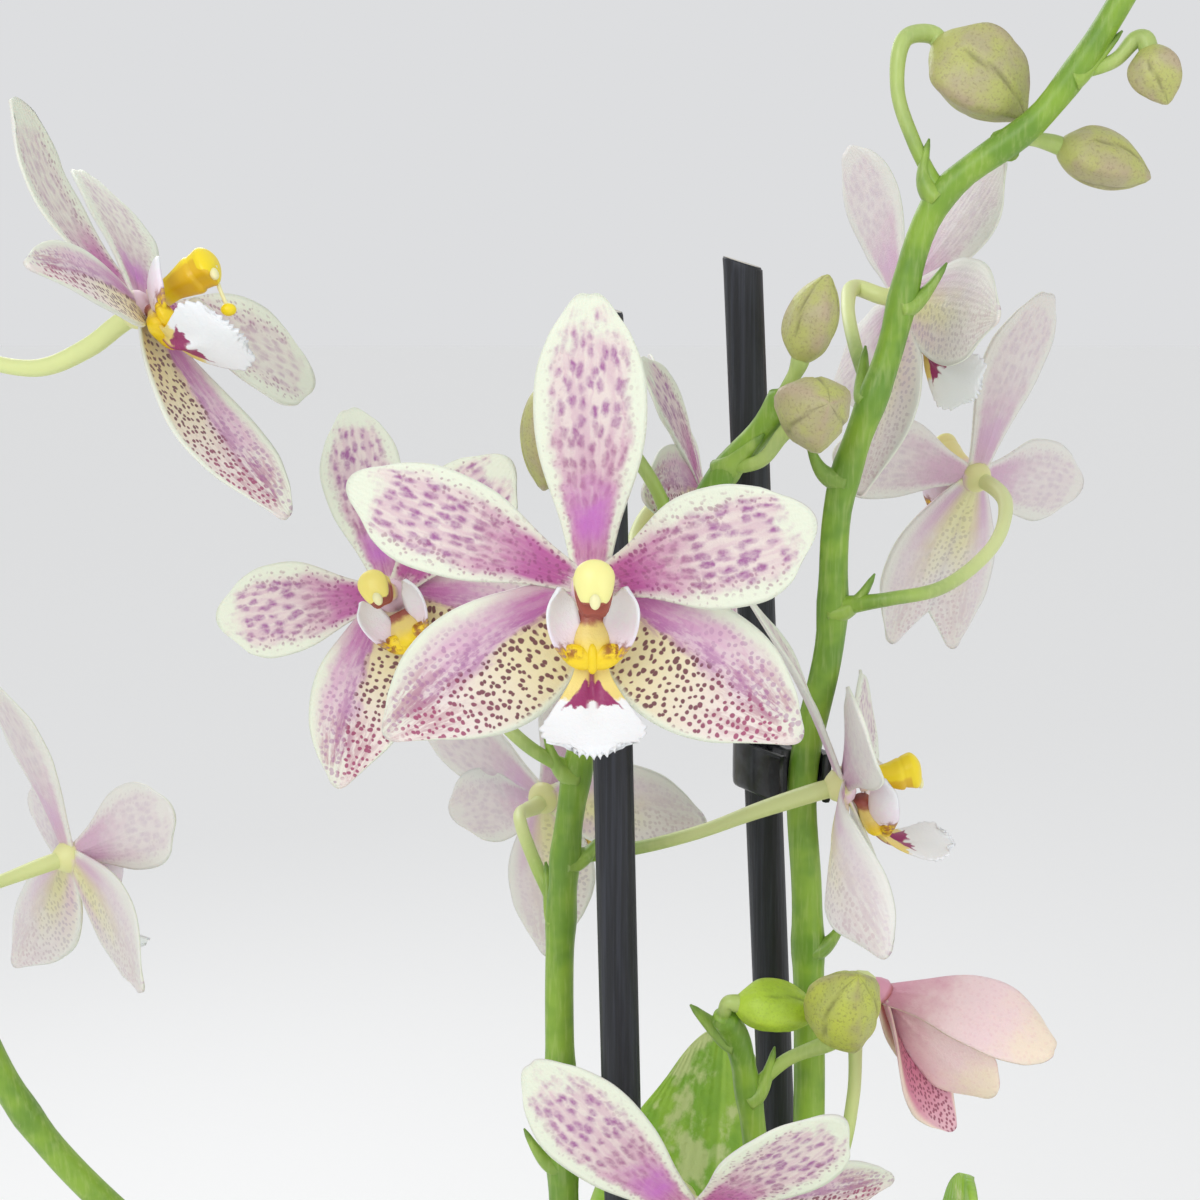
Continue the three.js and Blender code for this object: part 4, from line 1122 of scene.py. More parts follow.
@dataclass(frozen=True)
class CoatedCane(Finish):
    """A plastic-coated support cane: slate-black with lengthwise streaks, pale where it is cut."""

    # The coat was drawn along the cane: dull gloss, broken by fine scuffs lengthwise
    title: str = "slate coated cane"
    slot: Slot = Slot.STAKE
    relief: float = 0.2
    reads: str = "cut"
    slate: str = "#17191F"
    dusty: str = "#2E313B"
    cut: str = "#CFC8BC"

    def colour(self, n: Adder, v: Reads) -> Look:
        """Build the streaks and the cut end.

        Args:
            n: adds a node.
            v: the numbers it reads.

        Returns:
            The colour and the relief.
        """
        streaks = n(Op.CLOUD, n(Op.STRETCH, own_place(n), (1.4, 1.4, 0.03)), 1.0, 4.0, 0.65)
        colour = n(Op.MIX, n(Op.EASE, streaks, 0.4, 0.72), self.slate, self.dusty)
        return n(Op.MIX, n(Op.EASE, v.cut, 0.4, 0.6), colour, self.cut), streaks


@dataclass(frozen=True)
class SmokyPlastic(Finish):
    """A moulded clip in smoke-grey plastic."""

    # Moulded in a polished tool: smooth, with a soft clear gloss
    title: str = "smoke grey clip plastic"
    slot: Slot = Slot.CLIP
    roughness: float = 0.3
    coat: float = 0.2
    relief: float = 0.03
    smoke: str = "#1D1F23"
    rubbed: str = "#303338"

    def colour(self, n: Adder, v: Reads) -> Look:
        """Build the plastic's slightly uneven grey.

        Args:
            n: adds a node.
            v: the numbers it reads; not used, as the clip reads none.

        Returns:
            The colour and the relief.
        """
        haze = n(Op.CLOUD, own_place(n), 0.4, 3.0)
        return n(Op.MIX, n(Op.EASE, haze, 0.4, 0.7), self.smoke, self.rubbed), haze


# Node groups, and stems, stalks and roots: a round section swept along its route


class NodeGroup:
    """A Geometry Nodes tree with named inputs, which turns a guide object into a plain one."""

    def __init__(self, title: str, start: str, inputs: tuple[tuple[str, str], ...], end: str) -> None:
        """Make the tree with its inputs and its output, and nothing between them.

        Args:
            title: the tree's name.
            start: the name of the geometry that goes in.
            inputs: the other inputs, as (name, kind).
            end: the name of the geometry that comes out.
        """
        self.tree = bpy.data.node_groups.new(title, "GeometryNodeTree")
        face = self.tree.interface
        self.keys = {}
        for name, kind in ((start, "Geometry"), *inputs):
            socket = face.new_socket(name=name, in_out="INPUT", socket_type=f"NodeSocket{kind}")
            self.keys[name] = socket.identifier
        face.new_socket(name=end, in_out="OUTPUT", socket_type="NodeSocketGeometry")
        self.given = self.tree.nodes.new("NodeGroupInput").outputs
        self.end = self.tree.nodes.new("NodeGroupOutput").inputs[end]

    def run(self, guide: Thing, name: str, given: dict[str, object]) -> Thing:
        """Run the tree on a guide, whose modifier and which itself are removed after.

        Args:
            guide: the object whose mesh goes in.
            name: the name of the new object.
            given: the values of the inputs by name.

        Returns:
            A plain object with what the tree made.
        """
        modifier = guide.modifiers.new("nodes", "NODES")
        modifier.node_group = self.tree
        for key, value in given.items():
            modifier[self.keys[key]] = value
        bpy.context.view_layer.update()
        shown = guide.evaluated_get(bpy.context.evaluated_depsgraph_get())
        mesh = bpy.data.meshes.new_from_object(shown)
        mesh.name = name
        guide.modifiers.clear()
        bpy.data.objects.remove(guide)
        return show(bpy.data.objects.new(name, mesh))


@dataclass
class Line:
    """A route for the swept section, with a radius and named numbers at each point."""

    points: list[Vector]
    radii: list[float]
    values: dict[str, list[float]] = field(default_factory=dict)


class SweptTree(NodeGroup):
    """The node tree that sweeps a round section along each line of a mesh."""

    def __init__(self) -> None:
        """Build the tree."""
        inputs = (("Sides", "Int"), ("Thickness factor", "Float"), ("Finish", "Material"))
        super().__init__("round section along a route", "Route", inputs, "Stem")
        n, given = partial(add, self.tree), self.given
        scale = n(Op.TIMES, n(Op.NAMED, "radius"), given["Thickness factor"])
        skin = n(Op.SWEEP, n(Op.TO_CURVE, given["Route"]), n(Op.RING, given["Sides"], MM), scale)
        dressed = n(Op.SET_MATERIAL, n(Op.REALIZE, n(Op.SMOOTH, skin)), given["Finish"])
        self.tree.links.new(dressed, self.end)

    def sweep(self, name: str, lines: list[Line], sides: int, finish: Finish) -> Thing:
        """Sweep lines into one plain mesh and dress it.

        Args:
            name: the name of the new object.
            lines: the routes with their radii and values.
            sides: the number of sides of the round section.
            finish: what it is made of.

        Returns:
            The dressed object.
        """
        routes = Surface()
        for line in lines:
            start = len(routes.points)
            for i, place in enumerate(line.points):
                numbers = {key: column[i] for key, column in line.values.items()}
                routes.point(place, radius=line.radii[i], **numbers)
            routes.edges += [(i, i + 1) for i in range(start, len(routes.points) - 1)]
        given = {"Sides": sides, "Thickness factor": 1.0, "Finish": finish.material()}
        return finish.dress(self.run(routes.mesh_object(f"{name} guide"), name, given))


def to_object(surface: Surface, name: str, finish: Finish) -> Thing:
    """Make a dressed object of a surface."""
    return finish.dress(surface.mesh_object(name))


def joined(first: Thing, second: Thing) -> Thing:
    """Join two objects.

    Args:
        first: it keeps its name and finish.
        second: it goes into the first.

    Returns:
        The first object.
    """
    both = [first, second]
    with bpy.context.temp_override(active_object=first, object=first, selected_objects=both,
                                   selected_editable_objects=both):
        bpy.ops.object.join()
    return first


def stand_for(thing: Thing, node: str) -> None:
    """Let a piece ride on the plant and stand for its CAD node.

    Args:
        thing: the piece.
        node: the CAD node's name.
    """
    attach(thing, BODY)
    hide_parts(node)
    LOG.info("%s stands for %s, %d faces", thing.name, node, len(thing.data.polygons))


# Flowers


@dataclass(frozen=True)
class Shape:
    """The size and outline of one kind of blade: half widths as shares, at shares of the length."""

    length: float
    width: float
    outer: Table
    inner: Table
    tip_drop: float
    notch: float = 0.0


DORSAL_SIDE: Table = [(0, 0.3), (0.2, 0.54), (0.45, 0.93), (0.7, 1), (0.9, 0.74), (1, 0.42)]
SHAPES = {
    Blade.DORSAL: Shape(39, 15.3, DORSAL_SIDE, DORSAL_SIDE, 0.06, 0.014),
    Blade.PETAL: Shape(
        33.5, 17,
        [(0, 0.22), (0.2, 0.5), (0.45, 0.97), (0.7, 1), (0.9, 0.78), (1, 0.5)],
        [(0, 0.22), (0.2, 0.42), (0.45, 0.85), (0.7, 1), (0.9, 0.84), (1, 0.5)], 0.09),
    Blade.SEPAL: Shape(
        37, 18.8,
        [(0, 0.3), (0.2, 0.66), (0.45, 0.98), (0.7, 0.9), (0.9, 0.56), (1, 0.26)],
        [(0, 0.34), (0.2, 0.86), (0.45, 1.08), (0.7, 0.84), (0.9, 0.44), (1, 0.22)], 0.05),
}
BLADE_START = 1.0
RECEPTACLE_BACK = 2.6
STALK_OVERLAP = 0.6
RECEPTACLE: Table = [(0.05, -1.6), (1.6, -1.6), (2.5, -1.0), (3, 0), (2.6, 1.2), (1.9, 2.2),
                     (1.5, RECEPTACLE_BACK), (0.05, RECEPTACLE_BACK)]
COLUMN_START = -2.3
COLUMN_SIDE: Table = [(0, 1.9), (0.3, 1.9), (0.5, 2.4), (0.64, 2.75), (0.76, 2.6), (0.86, 2.75), (0.95, 2.6),
                      (1, 2.4)]
COLUMN_UP: Table = [(0, 1.7), (0.3, 1.55), (0.55, 1.6), (0.75, 2.2), (0.88, 2.5), (0.96, 2.4), (1, 2.2)]
LIP_HINGE = Vector((0, -3.6, -9))
MIDDLE_LOBE: Table = [(0, 0.3), (0.16, 0.36), (0.34, 0.56), (0.54, 0.84), (0.7, 1.0), (0.86, 0.84), (1, 0.5)]
SIDE_LOBE: Table = [(0, 0.66), (0.25, 1.05), (0.6, 1.08), (0.85, 0.86), (0.95, 0.56), (1, 0.3)]


@dataclass(frozen=True)
class Pose:
    """How a blade stands: turn, lean and twist in degrees, bow in mm, shares of its breadth and length."""

    turn: float
    lean: float
    twist: float = 0.0
    bow: float = 0.0
    breadth: float = 1.0
    reach: float = 1.0


@dataclass
class Flower:
    """An open flower: where it is, how it is turned, and how its five blades spread."""

    name: str
    at: Point
    yaw: float
    pitch: float
    roll: float
    size: float
    spread: tuple[float, float]
    lean: tuple[float, float, float]
    own: dict[str, Pose] = field(default_factory=dict)
    cap: str = "#F3EE9C"
    under: str = "#A04C3C"
    tint: float = 1.0
    hanging: bool = False
    rise: float = 14.0
    throat: float = 3.2
    lip_lift: float = 0.0
    foot: float = 1.0

    @property
    def matrix(self) -> Matrix:
        """The flower's place and turn: its face looks along its own -Y.

        Returns:
            The matrix.
        """
        turn = Matrix.Rotation(math.radians(self.yaw), 4, "Z")
        lift = Matrix.Rotation(math.radians(-self.pitch), 4, "X")
        return Matrix.Translation(self.at) @ turn @ lift @ Matrix.Rotation(math.radians(self.roll), 4, "Y")

    @property
    def stalk_end(self) -> tuple[Vector, Vector]:
        """Where the stalk ends behind the flower, and the way it comes in."""
        inward = (self.matrix.to_3x3() @ Vector((0, -1, 0))).normalized()
        return self.matrix @ Vector((0, RECEPTACLE_BACK - STALK_OVERLAP, 0)), inward

    def blade(self, kind: Blade, pose: Pose, seed: float) -> Surface:
        """Make one petal or sepal in the flower's own frame.

        Args:
            kind: which of the three kinds.
            pose: how it stands; the turn is from +Z towards +X and the twist grows to the tip.
            seed: shifts its markings and ripples.

        Returns:
            The closed blade.
        """
        shape = SHAPES[kind]
        turn, lean, twist = (math.radians(a) for a in (pose.turn, pose.lean, pose.twist))
        along = Vector((math.sin(turn) * math.cos(lean), -math.sin(lean), math.cos(turn) * math.cos(lean)))
        level = Vector((math.cos(turn), 0, -math.sin(turn)))
        low_side = -1 if pose.turn < 0 else 1
        length = shape.length * self.size * pose.reach
        half_width = shape.width / 2 * self.size * pose.breadth

        def rule(share: float, side: float) -> Spot:
            """The blade at a share of its length and at a side.

            Args:
                share: 0 at its foot and 1 at its tip.
                side: -1 to 1.

            Returns:
                The spot.
            """
            notch = shape.notch * hump(side, 0.3) * ease(0.8, 1.0, share)
            reach = share - (shape.tip_drop * side * side + notch) * ease(0.55, 1.0, share)
            table = shape.inner if side * low_side > 0 else shape.outer
            half = read(table, share) * half_width * side
            half *= 1 + 0.02 * rough(Vector((seed * 3, share * 5, low_side)))
            across = Matrix.Rotation(twist * share, 3, along) @ level
            facing = across.cross(along).normalized()
            bend = 0.05 * length * math.sin(math.pi * share) - 0.04 * length * share * share
            margin = ease(0.45, 1.0, abs(side)) * ease(0.15, 0.5, share)
            wave = 0.45 * margin * rough(Vector((share * 4.2, side * 0.8, seed * 7)))
            groove = -0.22 * hump(side, 0.1) * (1 - share)
            rise = bend * 0.5 + 0.1 * abs(half) * abs(side) + wave + groove
            middle = along * (BLADE_START + (length - BLADE_START) * reach) + across * half
            middle += facing * (rise + pose.bow * math.sin(math.pi * share))
            thick = 0.85 - 0.4 * abs(side) ** 3 - 0.2 * ease(0.8, 1.0, share)
            return middle, facing, thick, {
                "along": reach, "across": side * low_side, "wide": half, "long": reach * length,
                "kind": float(kind.value), "seed": seed, "tint": self.tint}

        return sheet(34, 22, rule)

    def perianth(self) -> Surface:
        """Make the five blades on the flower's receptacle.

        Returns:
            The surface in its place.
        """
        petal_turn, sepal_turn = self.spread
        dorsal_lean, petal_lean, sepal_lean = self.lean
        poses = {
            "dorsal": (Blade.DORSAL, Pose(0, dorsal_lean)),
            "rightPetal": (Blade.PETAL, Pose(petal_turn, petal_lean)),
            "leftPetal": (Blade.PETAL, Pose(-petal_turn, petal_lean)),
            "rightSepal": (Blade.SEPAL, Pose(sepal_turn, sepal_lean)),
            "leftSepal": (Blade.SEPAL, Pose(-sepal_turn, sepal_lean)),
        }
        made = turned([(r * self.foot, -y) for r, y in RECEPTACLE], 24)
        made.moved(Matrix.Rotation(math.radians(90), 4, "X"))
        made.values = {"back": [1.0 if p.y > 0 else 0.0 for p in made.points]}
        for i, (name, (kind, pose)) in enumerate(poses.items()):
            seed = 1.7 * i + 0.37 * self.at[0] + 0.21 * self.at[2]
            made.join(self.blade(kind, self.own.get(name, pose), seed % 23))
        return made.moved(self.matrix)

    def column(self) -> Surface:
        """Make the column: a waxy body that swells into a hood, hollow beneath, with a pale tooth.

        Returns:
            The surface in its place.
        """
        length, deep = 11 * self.size, self.throat
        down: Table = [(0, 1.8), (0.3, 0.5 + 0.4 * deep), (0.5, 0.8 * deep), (0.64, deep),
                       (0.73, 0.97 * deep), (0.79, 3.3), (0.86, 3.6), (0.96, 3.7), (1, 3.4)]
        steps, sides = 40, 32
        shares = [1 - (1 - i / steps) ** 1.6 for i in range(steps + 1)]
        rings = []
        for share in shares:
            round_end = math.sqrt(max(0.004, 1 - (max(0.0, share - 0.84) / 0.16) ** 2))
            seam = 1 - 0.07 * hump(share - 0.7, 0.02)
            ring = []
            for turn in angles(sides):
                tall = read(COLUMN_UP if math.cos(turn) > 0 else down, share)
                across = math.sin(turn) * read(COLUMN_SIDE, share) * self.size
                high = math.cos(turn) * tall * self.size
                if high < 0:
                    high *= 1 + 0.22 * math.sin(2 * turn) ** 2
                ring.append(Vector((across * round_end * seam, -length * share, high * round_end * seam)))
            rings.append(ring)
        made = loft(rings, lambda share, turn: {
            "along": shares[round(share * steps)], "under": -math.cos(2 * math.pi * turn)})
        made.join(ball((0, -length * 0.93, -3.2 * self.size), (0.75, 0.6, 1.15), tooth=1.0))
        tilt = Matrix.Rotation(math.radians(-self.rise), 4, "X")
        place = self.matrix @ tilt @ Matrix.Translation((0, COLUMN_START, 0))
        made.moved(place)
        if self.hanging:
            made.join(self.pollen_thread(place @ Vector((0, -length * 0.97, -1.5))))
        return made

    @staticmethod
    def pollen_thread(start: Vector) -> Surface:
        """Make the pollen that has come out of the cap and hangs from it on a thread.

        Args:
            start: where the thread leaves the cap.

        Returns:
            The thread and the pollen.
        """
        route = route_points([start, start + Vector((0.3, 0, -2.5)), start + Vector((1.6, 0, -6))], 16)
        rings = [[middle + p for p in circle(0.3, 0, 10)] for middle in route]
        made = loft(rings, lambda share, turn: {"tooth": 1.0})
        return made.join(ball(tuple(route[-1]), (1.1, 1.0, 0.9), along=1.0))

    def lip(self) -> Surface:
        """Make the lip: its foot and callus, two upright side lobes and the fringed middle lobe.

        Returns:
            The surface in its place.
        """
        hinge = Matrix.Translation(LIP_HINGE * self.size)
        lift = hinge @ Matrix.Rotation(math.radians(-self.lip_lift), 4, "X") @ hinge.inverted()
        made = self.callus().join(self.middle_lobe().moved(lift))
        return made.join(self.side_lobe(-1)).join(self.side_lobe(1)).moved(self.matrix)

    def callus(self) -> Surface:
        """Make the foot of the lip and the freckled callus on it.

        Returns:
            The surface in the flower's own frame.
        """
        size, steps = self.size, 13
        route = route_points([(0, -2.1, -2.9), (0, -3.2, -6.2), (0, -3.8, -10.2 * size)], steps + 1)
        rings = []
        for i, middle in enumerate(route):
            share = i / steps
            radius = (1.3 + 0.9 * ease(0.1, 0.7, share)) * (1 - 0.55 * ease(0.88, 1.0, share))
            ring = []
            for turn in angles(20):
                out = radius + 0.25 * math.cos(3 * turn) * ease(0.4, 0.8, share)
                ring.append(middle + Vector((1.35 * out * math.sin(turn), -out * math.cos(turn), 0.0)))
            rings.append(ring)
        part = float(LipPart.CALLUS.value)
        made = loft(rings, lambda share, turn: {
            "along": share, "across": 0.3 * math.sin(2 * math.pi * turn), "long": 8 * share - 10,
            "wide": 2 * math.sin(2 * math.pi * turn), "part": part})
        # Two swollen wings, higher at their outer ends, and a keel between them make the yellow W
        for hand, radii in ((-1, (2.5, 1.1, 1.6)), (1, (2.5, 1.1, 1.6)), (0, (0.9, 1.2, 2.2))):
            knob = ball((0, 0, 0), radii, along=0.95, part=part)
            knob.moved(Matrix.Rotation(math.radians(-28 * hand), 4, "Y"))
            spot = Vector((1.9 * hand, -5.2, -9.0 + 0.2 * abs(hand))) * size
            knob.moved(Matrix.Translation(spot))
            knob.values["across"] = [abs(p.x) / (4.0 * size) for p in knob.points]
            knob.values["wide"] = [p.x for p in knob.points]
            knob.values["long"] = [p.z for p in knob.points]
            made.join(knob)
        return made

    def middle_lobe(self) -> Surface:
        """Make the hanging middle lobe, which flares to a white end with small teeth.

        Returns:
            The surface in the flower's own frame.
        """
        size, seed = self.size, self.at[0]
        corners = [LIP_HINGE, (0, -3.8, -13), (0, -6.2, -17), (0, -11, -21.5)]
        route = route_points([Vector(c) * size for c in corners], 61)

        def rule(share: float, side: float) -> Spot:
            """The lobe at a share of its length and at a side.

            Args:
                share: 0 at its foot and 1 at its tip.
                side: -1 to 1.

            Returns:
                The spot.
            """
            teeth = abs(math.sin(side * 12.6 + 2 * rough(Vector((side * 3, seed, 2.0)))))
            reach = share - ease(0.84, 1.0, share) * (0.1 * abs(side) ** 3 + 0.055 * teeth)
            middle, way = spot_on(route, reach)
            facing = Vector((1, 0, 0)).cross(way).normalized()
            nicks = abs(math.sin(share * 39 + rough(Vector((share * 9, seed, side)))))
            wide = 7 * size * read(MIDDLE_LOBE, share) * side
            half = wide * (1 + (0.11 * nicks - 0.05) * ease(0.55, 0.7, share))
            ridge = 0.8 * hump(side, 0.22) * (1 - ease(0.2, 0.75, share))
            curl = 0.9 * ease(0.55, 1.0, share) * (0.35 - side * side)
            thick = 0.8 - 0.4 * abs(side) ** 3 - 0.25 * ease(0.85, 1.0, share)
            return middle + Vector((half, 0, 0)) + facing * (ridge + curl), facing, thick, {
                "along": share, "across": side, "wide": wide, "long": share * 15,
                "part": float(LipPart.MIDDLE_LOBE.value)}

        return sheet(44, 44, rule)

    def side_lobe(self, hand: int) -> Surface:
        """Make one of the two white ears beside the column.

        Args:
            hand: -1 or 1, for the side along X.

        Returns:
            The surface in the flower's own frame.
        """
        size = self.size
        corners = [(hand * 2.5, -4.9, -9), (hand * 3.9, -5.5, -4), (hand * 4.4, -6.5, 1.2)]
        route = route_points([Vector(c) * size for c in corners], 31)
        across = Vector((0.7 * hand, -0.71, 0)).normalized()

        def rule(share: float, side: float) -> Spot:
            """The ear at a share of its height and at a side.

            Args:
                share: 0 at its foot and 1 at its tip.
                side: -1 to 1.

            Returns:
                The spot.
            """
            middle, way = spot_on(route, share - 0.08 * side * side * ease(0.6, 1.0, share))
            facing = across.cross(way).normalized()
            if facing.x * hand < 0:
                facing.negate()
            half = 2.8 * size * read(SIDE_LOBE, share) * side
            bulge = 0.9 * (1 - side * side) * math.sin(math.pi * share)
            return middle + across * half + facing * bulge, facing, 0.75 - 0.35 * abs(side) ** 3, {
                "along": share, "across": side, "wide": 2.8 * side, "long": share * 10,
                "part": float(LipPart.SIDE_LOBE.value)}

        return sheet(16, 12, rule)

    def build(self) -> None:
        """Make and dress the flower's three pieces."""
        petals = to_object(self.perianth(), f"{self.name}_blades", PetalSkin())
        stand_for(petals, f"{self.name}_petals")
        lip = to_object(self.lip(), f"{self.name}_fringed_lip", LipSkin())
        stand_for(lip, f"{self.name}_lip")
        skin = ColumnSkin(title=f"waxy column {self.cap[1:]}", cap=self.cap, under=self.under)
        stand_for(to_object(self.column(), f"{self.name}_waxy_column", skin), f"{self.name}_column")


@dataclass
class HalfOpenFlower(Flower):
    """The pink flower that is still opening: its blades lean together into a hanging bell."""

    def build(self) -> None:
        """Make and dress the flower's one piece."""
        stand_for(to_object(self.perianth(), "half_open_blades", PinkPetalSkin()), "bloom_half_open")


FLOWERS = [
    Flower("bloom_front", (-16.9, -45, 346.5), 3, 0, 0, 0.98, (75, 128), (-2, 6, -3),
           {"dorsal": Pose(0, -2, 0, 0, 1, 1.035), "rightPetal": Pose(69, 22),
            "leftPetal": Pose(-66, -1, 0, 0, 0.85, 1.08), "rightSepal": Pose(127, 2),
            "leftSepal": Pose(-128, -7)}, rise=17, throat=5.0),
    Flower("bloom_left", (-48.2, 2, 335.4), -6, 9, -28, 0.86, (71, 137), (-20, 0, 3),
           {"dorsal": Pose(9, -20), "rightPetal": Pose(69, 8), "rightSepal": Pose(131, -6)},
           cap="#F2E27A", throat=4.0),
    Flower("bloom_upper_left", (-79, -30, 382.5), 83, 33, 52, 0.97, (76, 129), (-5, 10, 3),
           {"dorsal": Pose(-2, -6, -10), "rightPetal": Pose(78, 16, 15), "leftPetal": Pose(-60, 6, 0, -4),
            "rightSepal": Pose(140, 6, 25, -3), "leftSepal": Pose(-129, 5, 10, 0, 0.65)}, cap="#F5DC1C",
           under="#E3B91E", tint=0.45, hanging=True, rise=0, lip_lift=20),
    Flower("bloom_edge_left", (-107, 25, 284.5), 131, 5, 12, 0.88, (76, 129), (-11, 15, -6)),
    Flower("bloom_behind", (2, 40, 345.5), 78, 15, 45, 0.88, (75, 126), (-12, -2, -4)),
    Flower("bloom_high_right", (35, 36, 379), 111, -11, 46, 0.91, (79, 137), (-3, 9, -1)),
    Flower("bloom_back_right", (52.5, 58, 345.5), -150, 12, -11, 0.92, (90, 167), (-3, 8, 0)),
    Flower("bloom_side_right", (21.5, -14, 309.2), 92, 15, -8, 0.89, (74, 116), (-11, 9, -3),
           {"rightPetal": Pose(85, 20), "leftPetal": Pose(-46, 7, 5), "rightSepal": Pose(132, 4),
            "leftSepal": Pose(-114, -3, -50, -5)}, cap="#F5DC1C",
           under="#E9C424", tint=0.6, rise=0, lip_lift=32),
    Flower("bloom_back_low", (-25.5, 38, 291), 160, 5, 48, 0.86, (66, 130), (24, 26, 4),
           {"dorsal": Pose(30, 26), "leftSepal": Pose(-137, -7)}),
    Flower("bloom_low_front", (-2, -35, 249), 12, -21, -43, 0.96, (77, 141), (-10, 15, -10)),
]
HALF_OPEN = HalfOpenFlower("half_open", (30, 0, 270), 92, -36, -45, 0.75, (78, 134), (60, 80, 62),
                           {"dorsal": Pose(0, 60, 0, -5.5, 1.15), "leftPetal": Pose(-78, 80, 0, -2, 1.1),
                            "rightPetal": Pose(90, 79, 0, -2), "rightSepal": Pose(150, 74, -20, -2),
                            "leftSepal": Pose(-134, 64, 60, -2)}, foot=0.75)


BUD_PROFILE: Table = [(0, 0.24), (0.05, 0.5), (0.2, 0.86), (0.42, 1), (0.64, 0.92), (0.82, 0.62),
                      (0.92, 0.34), (0.97, 0.2), (1, 0.05)]
BUD_OVERLAP = 0.9


@dataclass
class Bud:
    """A closed bud: a pointed egg with three seams, from its foot to its tip."""

    name: str
    foot: Point
    tip: Point
    radius: float
    skin: BudSkin = BudSkin()
    keel: float = 0.17
    ROWS: ClassVar[int] = 30
    SIDES: ClassVar[int] = 36

    @property
    def axis(self) -> Vector:
        """From the foot to the tip."""
        return Vector(self.tip) - Vector(self.foot)

    @property
    def stalk_end(self) -> tuple[Vector, Vector]:
        """Where the stalk ends inside the bud's foot, and the way it comes in."""
        inward = self.axis.normalized()
        return Vector(self.foot) + inward * BUD_OVERLAP, inward

    def build(self) -> None:
        """Make and dress the bud."""
        rings = []
        for i in range(self.ROWS + 1):
            share = i / self.ROWS
            ring = []
            for j, turn in enumerate(angles(self.SIDES)):
                seam = self.seam_at(share, j / self.SIDES)
                place = Vector((math.cos(turn), math.sin(turn), share * 2)) + Vector(self.foot)
                crest = self.keel * (self.ridge_at(share, j / self.SIDES) - 0.62)
                radius = self.radius * read(BUD_PROFILE, share) * (
                    0.96 + crest - 0.1 * seam + 0.05 * rough(place, 1.6))
                height = share * self.axis.length
                ring.append(Vector((radius * math.cos(turn), radius * math.sin(turn), height)))
            rings.append(ring)
        made = loft(rings, lambda share, turn: {
            "along": share, "seam": self.seam_at(share, turn), "ridge": self.ridge_at(share, turn)})
        made.moved(stood_on(self.foot, self.axis))
        stand_for(to_object(made, f"{self.name}_seamed", self.skin), self.name)

    @staticmethod
    def ridge_at(share: float, turn: float) -> float:
        """How near a place is to the keel of a sepal, from 0 to 1."""
        swirl = (turn * 3 + 0.25 * share + 0.5) % 1
        return hump(min(swirl, 1 - swirl), 0.14) * ease(0.0, 0.25, share)

    @staticmethod
    def seam_at(share: float, turn: float) -> float:
        """How near a place is to a seam between two sepals, from 0 to 1."""
        swirl = (turn * 3 + 0.25 * share) % 1
        return hump(min(swirl, 1 - swirl), 0.06) * ease(0.1, 0.4, share)


LIME_BUD = BudSkin(title="lime bud", olive="#9DBB34", lime="#B4D23C", freckle="#8DA636", seam="#6F8A22",
                   crest="#A9C43A")
GREEN_BUD = BudSkin(title="freckled green bud", olive="#B4BA62", lime="#BFC850", freckle="#6E6440",
                    seam="#7A7A34", crest="#A39A68")
BUDS = [
    Bud("bud_high_large", (36.5, 14, 420.5), (49.5, 10, 408.5), 7.4, keel=0.26),
    Bud("bud_high_small", (66, 2, 419), (69, 0, 410.5), 4.2),
    Bud("bud_high_right", (55, 10, 404.5), (69.5, 10, 399.5), 4.9),
    Bud("bud_tip", (14.8, -1, 372.3), (18.8, -2, 385.5), 4.4),
    Bud("bud_round", (15, -3, 364), (18, -14.5, 367.5), 6.2),
    Bud("bud_behind", (-22.5, 8, 368.5), (-24.5, 8, 351), 5.6),
    Bud("bud_low_left", (5.5, -13.5, 273.5), (19, -11.5, 271), 4.5, LIME_BUD),
    Bud("bud_low_round", (21, -14.5, 268.5), (23.5, -22.5, 281.5), 6.3, GREEN_BUD),
]


@dataclass
class Stalk:
    """A flower's or bud's stalk: what it carries, its height on the stem, and its route."""

    carries: str
    height: float
    route: list[Point]


BRACT_WIDTH: Table = [(0, 2.7), (0.3, 2.3), (0.7, 1.25), (0.93, 0.6), (1, 0.2)]
BRACT_DEPTH: Table = [(0, 2.0), (0.3, 1.6), (0.7, 0.85), (0.93, 0.45), (1, 0.15)]
STALK_ENDS = {thing.name: thing.stalk_end for thing in [*FLOWERS, HALF_OPEN, *BUDS]}


